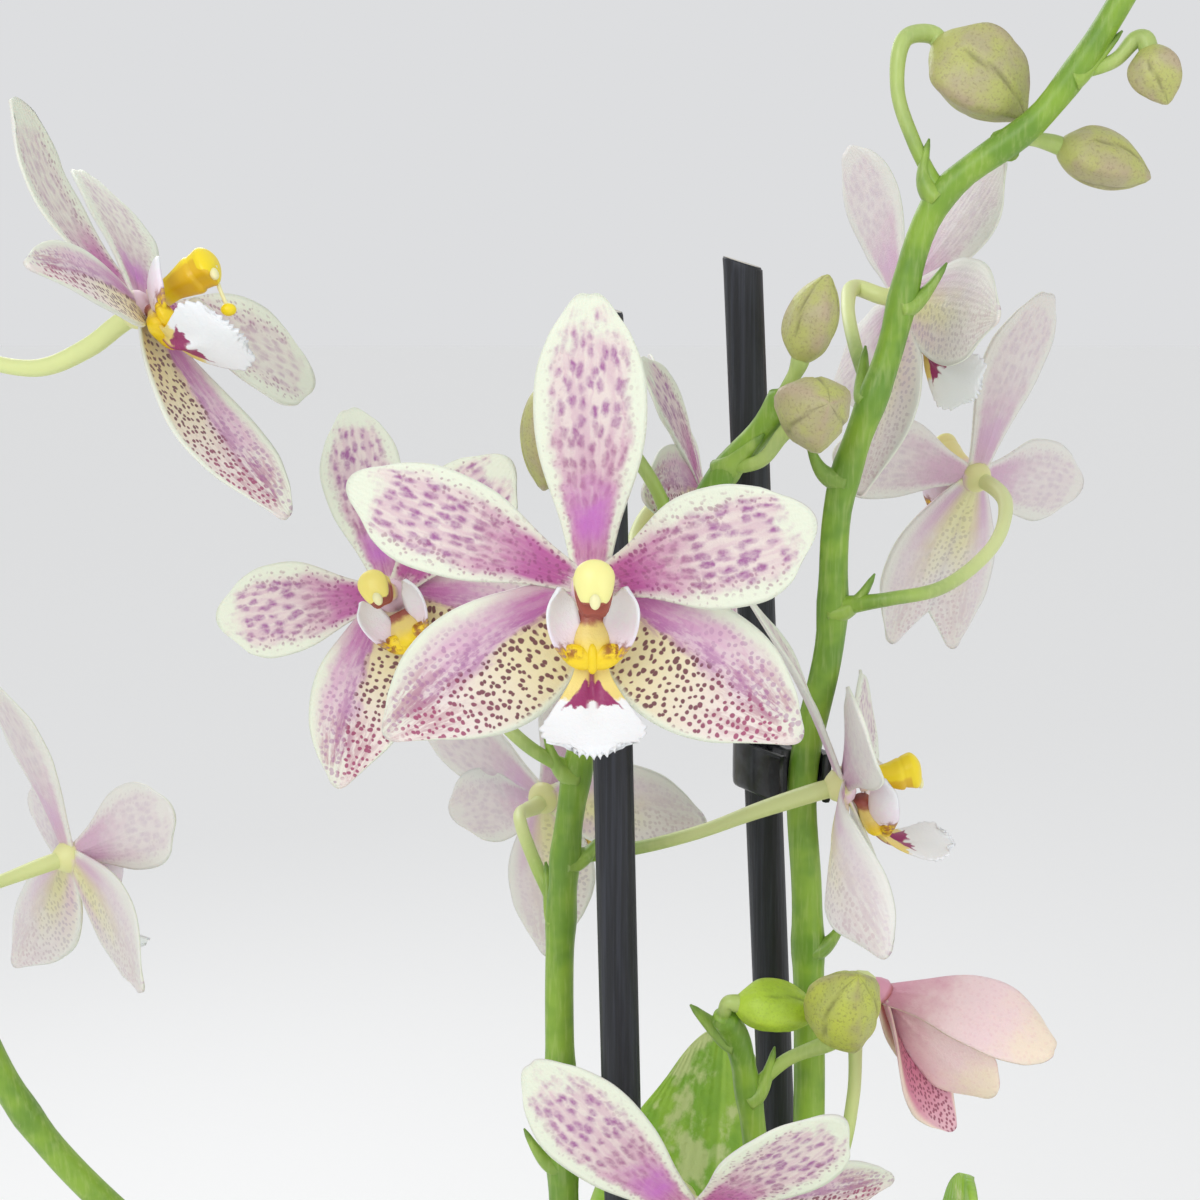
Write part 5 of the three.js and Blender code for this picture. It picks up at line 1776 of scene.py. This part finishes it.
@dataclass
class Spike:
    """A flower spike: stem, stalks, bracts at the joints and small buds at the tip."""

    name: str
    route: list[Point]
    radii: tuple[float, float]
    stalks: list[Stalk]
    bracts: list[tuple[float, Point]]
    tips: list[tuple[float, Point, float]] = field(default_factory=list)
    SIDES: ClassVar[int] = 18
    STEM_POINTS: ClassVar[int] = 150

    def build(self, sweeper: SweptTree) -> None:
        """Make the spike as one piece: swept stems with sheathing bracts and tip buds.

        Args:
            sweeper: sweeps the round section.
        """
        lines = [self.stem_line()]
        extras = Surface()
        points = route_points(self.route, 400)
        for stalk in self.stalks:
            lines.append(self.stalk_line(stalk, points))
            if stalk.route:
                out = (Vector(stalk.route[0]) - lines[-1].points[0]).normalized() + Vector((0, 0, 0.5))
                extras.join(self.bract(points, stalk.height, out))
        for height, towards in self.bracts:
            extras.join(self.bract(points, height, Vector(towards)))
        for height, end, radius in self.tips:
            foot = height_on(points, height)
            stalk_points = [foot.lerp(Vector(end), i / 5) for i in range(6)]
            lines.append(Line(stalk_points, [1.1] * 6, {"pale": [0.1] * 6}))
            extras.join(self.tip_bud(Vector(end), radius, foot))
        stem = sweeper.sweep(f"{self.name}_stem", lines, self.SIDES, StemSkin())
        stand_for(joined(stem, to_object(extras, f"{self.name}_sheaths", StemSkin())), self.name)

    def stem_line(self) -> Line:
        """Make the main stem, which thickens a little at each joint and rounds off at its top.

        Returns:
            The line to sweep.
        """
        points = route_points(self.route, self.STEM_POINTS)
        joints = [stalk.height for stalk in self.stalks] + [height for height, _ in self.bracts]
        radii, near = [], [max(hump(p.z - height, 3.2) for height in joints) for p in points]
        for i, thicker in enumerate(near):
            share = i / (self.STEM_POINTS - 1)
            radius = self.radii[0] + (self.radii[1] - self.radii[0]) * share
            closing = math.sqrt(max(0.02, 1 - max(0.0, (share - 0.992) / 0.008) ** 2))
            radii.append(radius * (1 + 0.14 * thicker) * closing)
        return Line(points, radii, {"joint": near})

    def stalk_line(self, stalk: Stalk, stem: list[Vector]) -> Line:
        """Make a stalk that leaves the stem, turns cream-green and thickens behind its flower.

        Args:
            stalk: which stalk.
            stem: points of the stem's route.

        Returns:
            The line to sweep.
        """
        end, inward = STALK_ENDS[stalk.carries]
        corners = [height_on(stem, stalk.height), *[Vector(p) for p in stalk.route], end - inward * 2, end]
        count = 14 + 8 * len(corners)
        shares = [i / (count - 1) for i in range(count)]
        radii = [1.1 + 0.35 * ease(0.5, 0.95, s) + 0.55 * hump(s, 0.07) for s in shares]
        paleness = 0.4 if stalk.carries.startswith("bud") else 0.9
        pale = [ease(0.02, 0.5, s) * paleness for s in shares]
        return Line(route_points(corners, count), radii, {"pale": pale})

    @staticmethod
    def tip_bud(middle: Vector, radius: float, foot: Vector) -> Surface:
        """Make a pea-sized bud at the spike's tip, pointed away from the stem.

        Args:
            middle: its middle.
            radius: half its length.
            foot: where its stalk leaves the stem.

        Returns:
            The closed bud.
        """
        rings = []
        for share in (i / 10 for i in range(11)):
            girth = radius * (math.sin(math.pi * min(0.985, max(0.03, share ** 1.15))) ** 0.75)
            rings.append(circle(girth, radius * (2 * share - 1), 16))
        made = loft(rings, lambda share, turn: {"pale": 0.12, "joint": 0.5 * share})
        return made.moved(stood_on(middle, (middle - foot).normalized()))

    def bract(self, stem: list[Vector], height: float, towards: Vector) -> Surface:
        """Make a fleshy pointed scale that grows from a joint and leans out.

        Args:
            stem: points of the stem's route.
            height: where the scale is attached.
            towards: the way its tip points.

        Returns:
            The closed scale.
        """
        foot = height_on(stem, height)
        up = (height_on(stem, height + 4) - foot).normalized()
        out = (towards - up * towards.dot(up)).normalized()
        aside = up.cross(out).normalized()
        tip = towards.normalized() * 8.5
        rings = []
        for share in (i / 12 for i in range(13)):
            sag = up * (-1.6 * math.sin(math.pi * share) + 0.9 * share**3 - 0.8 * (1 - share))
            way = tip + up * (2.7 * share**2 - 1.6 * math.pi * math.cos(math.pi * share) + 0.8)
            normal = way.normalized().cross(aside).normalized()
            half, deep = read(BRACT_WIDTH, share), read(BRACT_DEPTH, share)
            middle = foot + tip * share + sag
            rings.append([middle + aside * (math.cos(t) * half) + normal * (math.sin(t) * deep)
                          for t in angles(18)])
        return loft(rings, lambda share, turn: {
            "pale": 0.1, "joint": 0.1, "scar": ease(0.72, 1.0, share)})


SPIKES = [
    Spike(
        "spike_right",
        [(4.5, 2.5, 108), (9, 3, 128), (14, 2, 160), (18, 1, 205), (19, 2, 247), (18, 3, 285), (17, 4, 305),
         (21, 5, 327), (22, 5, 350), (29, 6, 372), (36, 6, 396), (51, 4, 409), (62, 2, 426), (69, 1, 442),
         (72, 0, 456)],
        (3.1, 1.8),
        [
            Stalk("half_open", 232, [(24, 3, 238), (26.5, 4, 250), (26.5, 3, 262)]),
            Stalk("bloom_back_right", 333, [(30, 1, 335), (38, 4, 336), (48, 16, 340), (54, 36, 344)]),
            Stalk("bloom_high_right", 366, [(25, 14, 373), (25, 26, 379), (27.5, 36, 381)]),
            Stalk("bud_high_large", 397, [(32.5, 8, 405), (30, 10, 413), (31.2, 12, 420.5)]),
            Stalk("bud_high_right", 405, [(50, 8, 405.5)]),
            Stalk("bud_high_small", 415, [(61.5, 3, 417), (64.5, 3, 420)]),
        ],
        [(354, (-1, 0, 0.9)), (381, (1, 0, 0.8)), (277, (1, -0.3, 0.9)), (200, (-0.6, -1, 1)),
         (150, (1, -0.6, 1))],
        [(428, (73, 1, 434), 2.6), (444, (66, 0, 452), 2.2), (454, (75, 0, 463), 2.0)],
    ),
    Spike(
        "spike_middle",
        [(-3.5, -3.5, 110), (-5, -3, 132), (-14, -1, 168), (-20, 0, 205), (-22, 0, 251), (-22, 2, 280),
         (-20, 2, 302), (-16, 4, 319), (-8, 6, 334), (3, 6, 353), (10, 3, 362), (13, 0, 368)],
        (2.9, 2.0),
        [
            Stalk("bloom_low_front", 255, [(-20.5, -14, 256), (-13, -25, 252.5), (-6, -27.5, 250)]),
            Stalk("bloom_back_low", 282, [(-26, 7, 289), (-29, 16, 294), (-28, 28, 292)]),
            Stalk("bloom_side_right", 292, [(-10, 4, 293), (0, 0, 297), (9, -7.5, 303)]),
            Stalk("bloom_left", 306, [(-27, 1, 311), (-35, 6, 318), (-43, 11, 328)]),
            Stalk("bloom_front", 322, [(-19.6, -5, 329), (-19.8, -14, 336), (-18.5, -30, 343.5)]),
            Stalk("bud_behind", 341, [(-6, 6, 350), (-13, 7, 361), (-18.5, 8, 369.5)]),
            Stalk("bloom_behind", 340, [(-7, 14, 338), (-10, 27, 339), (-6, 38, 343.5)]),
            Stalk("bud_round", 355, [(9.5, 1, 357), (12.5, 0, 361)]),
            Stalk("bud_tip", 367, []),
        ],
        [(240, (-1, -0.2, 0.9)), (190, (0.8, -0.6, 1)), (150, (-1, -0.3, 1))],
    ),
    Spike(
        "spike_short",
        [(4, -4, 110), (5.5, -6, 140), (10, -9, 200), (10, -8, 240), (8, -8, 257), (6, -9.5, 266),
         (3.5, -12.5, 271.5)],
        (2.6, 1.9),
        [Stalk("bud_low_round", 256, [(14, -9, 262)]), Stalk("bud_low_left", 271, [])],
        [(215, (-1, -0.4, 1)), (170, (1, -0.6, 1)), (266, (-1, 0, 0.7))],
    ),
    Spike(
        "spike_left",
        [(-4, 3, 112), (-13, 8, 133), (-34, 12, 158), (-80, 14, 204), (-113, 8, 246), (-124, 3, 290),
         (-126, -2, 340), (-122, -8, 385), (-116, -12, 410), (-106, -15, 428)],
        (3, 1.6),
        [
            Stalk("bloom_edge_left", 284, [(-119, 13, 283)]),
            Stalk("bloom_upper_left", 386, [(-112, -20, 378), (-95, -27, 374), (-87, -28.5, 377)]),
        ],
        [(190, (0.3, -0.6, 1)), (330, (-1, 0, 1)), (245, (-1, 0, 1))],
        [(404, (-128, -12, 412), 3.4), (418, (-104, -17, 437), 2.8), (427, (-98, -17, 433), 2.2)],
    ),
]


# Leaves, crown and roots


LEAF_WIDTH: Table = [(0, 0.2), (0.1, 0.24), (0.2, 0.5), (0.42, 0.92), (0.66, 1), (0.88, 0.7), (1, 0.34)]


@dataclass
class Leaf:
    """A strap leaf along its midrib's route, keeled, with a rounded tip."""

    name: str
    route: list[Point]
    width: float
    half_width: float = 24.0
    keel: float = 0.16

    def build(self) -> None:
        """Make and dress the leaf."""
        points = route_points(self.route, 121)
        chord = points[-1] - points[0]
        outward = Vector((chord.x, chord.y, 0)).normalized()
        across = Vector((-outward.y, outward.x, 0))
        facing = across.cross(chord).normalized()
        if facing.z < 0:
            facing.negate()
        length = sum((q - p).length for p, q in zip(points, points[1:]))
        seed = self.route[-1][0]

        def rule(share: float, side: float) -> Spot:
            """The leaf at a share of its length and at a side.

            Args:
                share: 0 at its foot and 1 at its tip.
                side: -1 to 1.

            Returns:
                The spot.
            """
            middle, _ = spot_on(points, share - 0.055 * side * side * ease(0.7, 1.0, share))
            half = self.half_width * self.width * read(LEAF_WIDTH, share) * side
            wave = 0.8 * side * side * rough(Vector((share * 3.1, side, seed)))
            groove = -0.8 * hump(side, 0.07) * (1 - 0.5 * share)
            middle += across * half + facing * (self.keel * abs(half) * abs(side) ** 0.5 + wave + groove)
            return middle, facing, 1.6 - 0.8 * abs(side) ** 3, {
                "along": share, "across": side, "wide": half + seed, "long": share * length}

        stand_for(to_object(sheet(60, 24, rule), f"{self.name}_marbled", LeafSkin()), self.name)


LEAVES = [
    Leaf("leaf_rear_upright", [(1, 6, 113), (1, 20, 134), (2, 30, 172), (4, 31, 212), (6, 25, 253)], 0.96),
    Leaf("leaf_right_upright", [(7, 1, 105), (24, -3, 131), (39, -2, 168), (46, 4, 204), (47, 9, 233)], 0.9),
    Leaf("leaf_left", [(-5, 1, 105), (-26, 3, 117), (-58, 2, 123), (-86, -6, 114), (-104, -12, 99)], 1.0),
    Leaf("leaf_front_right",
         [(5, -4, 103), (26, -18, 117), (54, -35, 124), (78, -50, 115), (92, -58, 100)], 1.0),
    Leaf("leaf_front", [(3, -5, 108), (7, -27, 126), (12, -54, 135), (17, -76, 128), (21, -92, 114)], 0.94),
    Leaf("leaf_left_rear",
         [(-4, 4, 108), (-22, 22, 127), (-46, 42, 139), (-64, 56, 134), (-78, 67, 121)], 0.94),
]


@dataclass
class Crown:
    """The crown with its sheaths, and the aerial roots that creep over the bark."""

    bottom: float = 84
    top: float = 124
    radius: float = 9
    root_radius: float = 2.4
    creeping: tuple[tuple[float, float], ...] = (
        (62, 40), (112, 36), (158, 42), (202, 38), (306, 36), (345, 44))
    hanging: tuple[float, float, float, float] = (268, 121, 70, 72)
    sheaths: int = 6

    def build(self, sweeper: SweptTree) -> None:
        """Make and dress the crown and its roots as one piece.

        Args:
            sweeper: sweeps the round section.
        """
        profile = [(0.05, self.bottom), (self.radius * 0.7, self.bottom)]
        for share in (i / 26 for i in range(27)):
            ring = 0.45 * (1 - (share * self.sheaths) % 1)
            girth = self.radius * (1 - 0.3 * ease(0.55, 1.0, share)) - 0.5 + ring
            profile.append((girth, self.bottom + 3 + (self.top - self.bottom - 5) * share))
        profile += [(self.radius * 0.4, self.top), (0.05, self.top)]
        body = to_object(turned(profile, 40, root=0.0), "crown_sheaths", CrownSkin())
        roots = sweeper.sweep("crown_and_aerial_roots", self.root_lines(), 14, CrownSkin())
        stand_for(joined(roots, body), "crown_and_roots")

    def root_lines(self) -> list[Line]:
        """Make the creeping roots, and the one that hangs over the rim.

        Returns:
            The lines to sweep.
        """
        lines = []
        for turn, reach in self.creeping:
            side = Vector((math.cos(math.radians(turn)), math.sin(math.radians(turn)), 0))
            steps = ((0.05, 97), (0.4, 103.5), (0.75, 101.5), (0.97, 92), (1, 85))
            lines.append(self.root_line([side * reach * s + Vector((0, 0, z)) for s, z in steps], 40, 0.85))
        turn, over, out, down = self.hanging
        side = Vector((math.cos(math.radians(turn)), math.sin(math.radians(turn)), 0))
        steps = ((2, 96), (26, 108), (50, over - 3), (out - 8, over - 1), (out, over - 16), (out, down))
        lines.append(self.root_line([side * r + Vector((0, 0, z)) for r, z in steps], 90, 0.9))
        return lines

    def root_line(self, corners: list[Vector], count: int, taper: float) -> Line:
        """Make a root with a slightly lumpy girth and a rounded tip.

        Args:
            corners: where it runs.
            count: how many points it has.
            taper: the share of its girth that is left at its tip.

        Returns:
            The line to sweep.
        """
        points = route_points(corners, count)
        radii = []
        for i, p in enumerate(points):
            share = i / (count - 1)
            closing = math.sqrt(max(0.03, 1 - max(0.0, (share - 0.95) / 0.05) ** 2))
            girth = self.root_radius * (1 - (1 - taper) * share) * (0.97 + 0.06 * rough(p, 0.12))
            radii.append(girth * closing)
        return Line(points, radii, {"root": [1.0] * count})


# Stakes and clip


@dataclass
class Stake:
    """A support cane with a slanting, pale cut top."""

    name: str
    top: Point
    low: Point
    slant: float
    radius: float = 3.1
    bottom: float = 40

    def at_height(self, height: float) -> Vector:
        """The point on the axis at a height."""
        top, fall = Vector(self.top), Vector(self.low) - Vector(self.top)
        return top + fall * ((height - top.z) / fall.z)

    def build(self) -> None:
        """Make and dress the cane."""
        top, bottom = Vector(self.top), self.at_height(self.bottom)
        rings = []
        for share in (0.0, 0.002, *[i / 24 for i in range(1, 24)], 0.992):
            rings.append(self.ring(bottom.lerp(top, share), self.radius * (0.9 if share == 0 else 1.0), 0.0))
        for drop, girth in ((0.95, 1.0), (0.6, 0.96), (0.6, 0.9)):
            rings.append(self.ring(top - Vector((0, 0, drop)), self.radius * girth, self.slant))
        last = len(rings) - 1
        made = loft(rings, lambda share, turn: {"cut": 1.0 if share * last > last - 0.5 else 0.0})
        stand_for(to_object(made, f"{self.name}_cane", CoatedCane()), self.name)

    @staticmethod
    def ring(middle: Vector, radius: float, slant: float) -> list[Vector]:
        """A ring round the axis, tilted by a slant in millimetres from side to side."""
        return [middle + Vector((radius * math.cos(t), radius * math.sin(t),
                                 slant * 0.5 * math.cos(t) - abs(slant) * 0.5)) for t in angles(40)]


STAKE_FRONT = Stake("stake_front", (-15.3, -10, 382.3), (-12.2, -10, 255), -1.2)
STAKE_BACK = Stake("stake_back", (6.8, 14, 388), (14.5, 14, 243.6), -1.8)


@dataclass
class Clip:
    """The clip: a band round the back cane that opens in a jaw round the right spike, with a web between."""

    height: float = 305
    tall: float = 8
    wall: float = 1.5
    lean: float = 120
    spike_radius: float = 2.75
    play: float = 0.3

    def build(self) -> None:
        """Make and dress the clip."""
        spike = height_on(route_points(SPIKES[0].route, 400), self.height)
        cane = STAKE_BACK.at_height(self.height)
        cane_radius, jaw = STAKE_BACK.radius + self.play, self.spike_radius + 0.35
        start = math.atan2(cane.y - spike.y, cane.x - spike.x)
        sections = []
        arcs = ((spike, jaw, -15, 30, 5), (cane, cane_radius, 30, 210, 15), (spike, jaw, 210, 197, 3))
        for centre, radius, first, last, steps in arcs:
            for i in range(steps):
                angle = start + math.radians(first + (last - first) * i / (steps - 1) - self.lean)
                out = Vector((math.cos(angle), math.sin(angle), 0))
                middle = Vector((centre.x, centre.y, self.height)) + out * (radius + self.wall / 2)
                sections.append(self.section(middle, out))
        made = loft(sections, lambda share, turn: {}).join(self.web(spike, cane, cane_radius))
        stand_for(to_object(made, "stake_clip_band", SmokyPlastic()), "stake_clip")

    def section(self, middle: Vector, out: Vector) -> list[Vector]:
        """Make the band's rounded upright section.

        Args:
            middle: its middle.
            out: the way out from the axis.

        Returns:
            The ring.
        """
        ring = []
        for angle in angles(16):
            c, s = math.cos(angle), math.sin(angle)
            x = math.copysign(abs(c) ** 0.35, c) * self.wall / 2
            z = math.copysign(abs(s) ** 0.35, s) * self.tall / 2
            ring.append(middle + out * x + Vector((0, 0, z)))
        return ring

    def web(self, spike: Vector, cane: Vector, cane_radius: float) -> Surface:
        """Make the solid bridge between the stem and the cane.

        Args:
            spike: the stem's middle.
            cane: the cane's middle.
            cane_radius: the radius that the bridge stops at.

        Returns:
            The closed bridge.
        """
        way = (cane - spike).normalized()
        aside = Vector((-way.y, way.x, 0))
        start = Vector((spike.x, spike.y, self.height)) + way * (self.spike_radius + self.play)
        end = Vector((cane.x, cane.y, self.height)) - way * (cane_radius + self.play)
        corners = [aside * x + Vector((0, 0, z * self.tall * 0.46))
                   for x, z in ((-1.4, -1), (1.4, -1), (1.4, 1), (-1.4, 1))]
        rings = [[start.lerp(end, share) + corner for corner in corners] for share in (0.0, 0.3, 0.7, 1.0)]
        return loft(rings, lambda share, turn: {})


# Pot and bark


@dataclass
class Pot:
    """A plain tapered pot with a rolled rim."""

    height: float = 115
    base: float = 46
    top: float = 60
    wall: float = 4
    floor: float = 6
    rim: float = 64
    rim_height: float = 16

    def outer(self, z: float) -> float:
        """The outer radius at a height."""
        return self.base + (self.top - self.base) * z / self.height

    def build(self) -> None:
        """Make and dress the pot."""
        foot, base, rim, height = self.height - self.rim_height, self.base, self.rim, self.height
        inside = self.outer(height) - self.wall
        profile = [
            (0.05, 1.2), (base - 9, 1.2), (base - 7, 0.0), (base - 2.5, 0.0), (base - 0.8, 0.5), (base, 1.8),
            *[(self.outer(foot * s), foot * s) for s in (0.04, 0.2, 0.4, 0.6, 0.8, 0.97)],
            (self.outer(foot) + 0.5, foot - 0.5), (rim - 1.6, foot), (rim - 0.5, foot + 0.6),
            (rim, foot + 2.2), (rim, foot + 8), (rim, height - 3), (rim - 0.5, height - 1),
            (rim - 1.8, height - 0.1),
            (rim - 3, height), (inside + 1.4, height - 0.2), (inside, height - 1.6),
            *[(self.outer(z) - self.wall, z) for z in (90, 60, 30, self.floor + 2)],
            (self.outer(self.floor) - self.wall - 2, self.floor), (0.05, self.floor),
        ]
        made = turned(profile, 128)
        made.values["foot"] = [1.0 if p.z < 1.0 or (p.z < 1.5 and p.xy.length < base - 3) else 0.0
                               for p in made.points]
        stand_for(to_object(made, "pot_glazed", GlazedClay()), "pot")


class ScatterTree(NodeGroup):
    """The node tree that scatters tumbled chips over a ground."""

    def __init__(self) -> None:
        """Build the tree."""
        inputs = (("Spacing", "Float"), ("Chip", "Vector"), ("Seed", "Int"), ("Finish", "Material"))
        super().__init__("scattered bark chips", "Ground", inputs, "Chips")
        n, given, seed = partial(add, self.tree), self.given, self.given["Seed"]
        most = 40000.0
        spots = n(Op.SCATTER, given["Ground"], given["Spacing"], most, seed)
        spin = n(Op.RANDOM_VECTOR, (-0.4, -0.4, 0.0), (0.4, 0.4, 6.28), seed)
        size = n(Op.RANDOM_VECTOR, (0.6, 0.6, 0.7), (1.25, 1.2, 1.2), seed)
        laid = n(Op.LAY, spots, n(Op.BLOCK, given["Chip"], 5, 4, 3), spin, size)
        real = n(Op.REALIZE, n(Op.STORE, laid, "tint", n(Op.RANDOM, 0.0, 1.0, seed)))
        # Broken faces: each point of a chip is pushed by up to about 3 mm
        lumps = n(Op.CLOUD, n(Op.PLACE), 90.0, 2.0, out=1)
        push = n(Op.SCALE, n(Op.LESS, lumps, (0.5, 0.5, 0.5)), 7 * MM)
        dressed = n(Op.SET_MATERIAL, n(Op.SHIFT, real, push), given["Finish"])
        self.tree.links.new(dressed, self.end)


@dataclass
class Bark:
    """Chips of pine bark over a filling of the same."""

    top: float = 98
    seed: int = 7
    spacing: float = 9.0
    chip: Point = (17, 12, 6)
    ground: float = 44

    def build(self, pot: Pot) -> None:
        """Make the filling, scatter chips over it, and dress both as one piece.

        Args:
            pot: the pot that it fills.
        """
        profile = [(0.05, pot.floor + 0.3), (pot.outer(pot.floor) - pot.wall - 0.3, pot.floor + 0.3)]
        profile += [(pot.outer(self.top) - pot.wall - 0.3, self.top - 1), (40, self.top), (0.05, self.top)]
        filling = to_object(turned(profile, 64, tint=0.3), "bark_filling", PineBark())
        stand_for(joined(filling, PineBark().dress(self.scattered(pot))), "potting_bark")

    def scattered(self, pot: Pot) -> Thing:
        """Scatter the chips on a disc, and keep them inside the pot's wall.

        Args:
            pot: the pot.

        Returns:
            The chips as one plain mesh.
        """
        disc = Surface(circle(self.ground, self.top + 1.2, 48), [tuple(range(48))])
        given = {"Spacing": self.spacing * MM, "Chip": [side * MM for side in self.chip], "Seed": self.seed,
                 "Finish": PineBark().material()}
        chips = ScatterTree().run(disc.mesh_object("bark ground"), "bark_chips_laid", given)
        limit = (pot.outer(self.top) - pot.wall - 0.8) * MM
        for vertex in chips.data.vertices:
            reach = math.hypot(vertex.co.x, vertex.co.y)
            if reach > limit:
                vertex.co.x *= limit / reach
                vertex.co.y *= limit / reach
        return chips


# Studio


@dataclass
class Studio:
    """A pale floor, soft frontal light and the photograph's camera."""

    elevation: float = 12.0
    distance: float = 340.0
    focal_pixels: float = 2176.0
    frame_pixels: float = 1200.0
    aim: Point = (-15.6, 0, 335)
    floor_reach: float = 4000.0
    floor_colour: str = "#FEFEFD"
    sky_colour: str = "#F4F5F7"
    sky_strength: float = 0.8
    LIGHTS: ClassVar[tuple[tuple[str, Point, float, float], ...]] = (
        ("key", (-300, -620, 760), 420, 2.1), ("fill", (480, -560, 420), 420, 0.7),
        ("back", (-250, 520, 640), 320, 1.0))

    def build(self) -> None:
        """Make the floor, lights and camera."""
        self.camera()
        self.floor()
        for name, where, size, power in self.LIGHTS:
            self.area_light(name, where, size, power)
        world = bpy.data.worlds.new("studio")
        world.use_nodes = True
        background = world.node_tree.nodes["Background"]
        background.inputs["Color"].default_value = linear(self.sky_colour)
        background.inputs["Strength"].default_value = self.sky_strength
        bpy.context.scene.world = world
        bpy.context.scene.view_settings.view_transform = "Standard"

    def camera(self) -> None:
        """Set the camera at the photograph's height and distance."""
        tilt = math.radians(self.elevation)
        look = Vector((0, math.cos(tilt), -math.sin(tilt)))
        data = bpy.data.cameras.new("photograph view")
        data.sensor_fit = "HORIZONTAL"
        data.angle = 2 * math.atan(self.frame_pixels / 2 / self.focal_pixels)
        data.clip_start = 0.01
        camera = show(bpy.data.objects.new("photograph view", data))
        camera.location = (Vector(self.aim) - look * self.distance) * MM
        camera.rotation_euler = (math.radians(90) - tilt, 0, 0)
        bpy.context.scene.camera = camera

    def floor(self) -> None:
        """Lay a plain pale floor."""
        far = self.floor_reach
        corners = [Vector((x * far, y * far, 0)) for x, y in ((-1, -1), (1, -1), (1, 1), (-1, 1))]
        floor = Surface(corners, [(0, 1, 2, 3)]).mesh_object("studio_floor")
        pale = bpy.data.materials.new("pale floor")
        pale.use_nodes = True
        shader = pale.node_tree.nodes["Principled BSDF"]
        shader.inputs["Base Color"].default_value = linear(self.floor_colour)
        shader.inputs["Roughness"].default_value = 0.8
        floor.data.materials.append(pale)

    def area_light(self, name: str, where: Point, size: float, power: float) -> None:
        """Hang a soft square light that looks at the flowers.

        Args:
            name: its name.
            where: its place in millimetres.
            size: its side in millimetres.
            power: its power in watts.
        """
        data = bpy.data.lights.new(name, "AREA")
        data.size = size * MM
        data.energy = power
        light = show(bpy.data.objects.new(name, data))
        light.location = Vector(where) * MM
        light.rotation_euler = (Vector(self.aim) - Vector(where)).to_track_quat("-Z", "Y").to_euler()


def main() -> None:
    """Load the frame and build every sub-assembly around it."""
    logging.basicConfig(level=logging.INFO, format="%(message)s")
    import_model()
    Studio().build()
    sweeper = SweptTree()
    pot = Pot()
    pot.build()
    Bark().build(pot)
    Crown().build(sweeper)
    for leaf in LEAVES:
        leaf.build()
    for spike in SPIKES:
        spike.build(sweeper)
    for stake in (STAKE_FRONT, STAKE_BACK):
        stake.build()
    Clip().build()
    for bud in BUDS:
        bud.build()
    for flower in [*FLOWERS, HALF_OPEN]:
        flower.build()


if __name__ == "__main__":
    main()
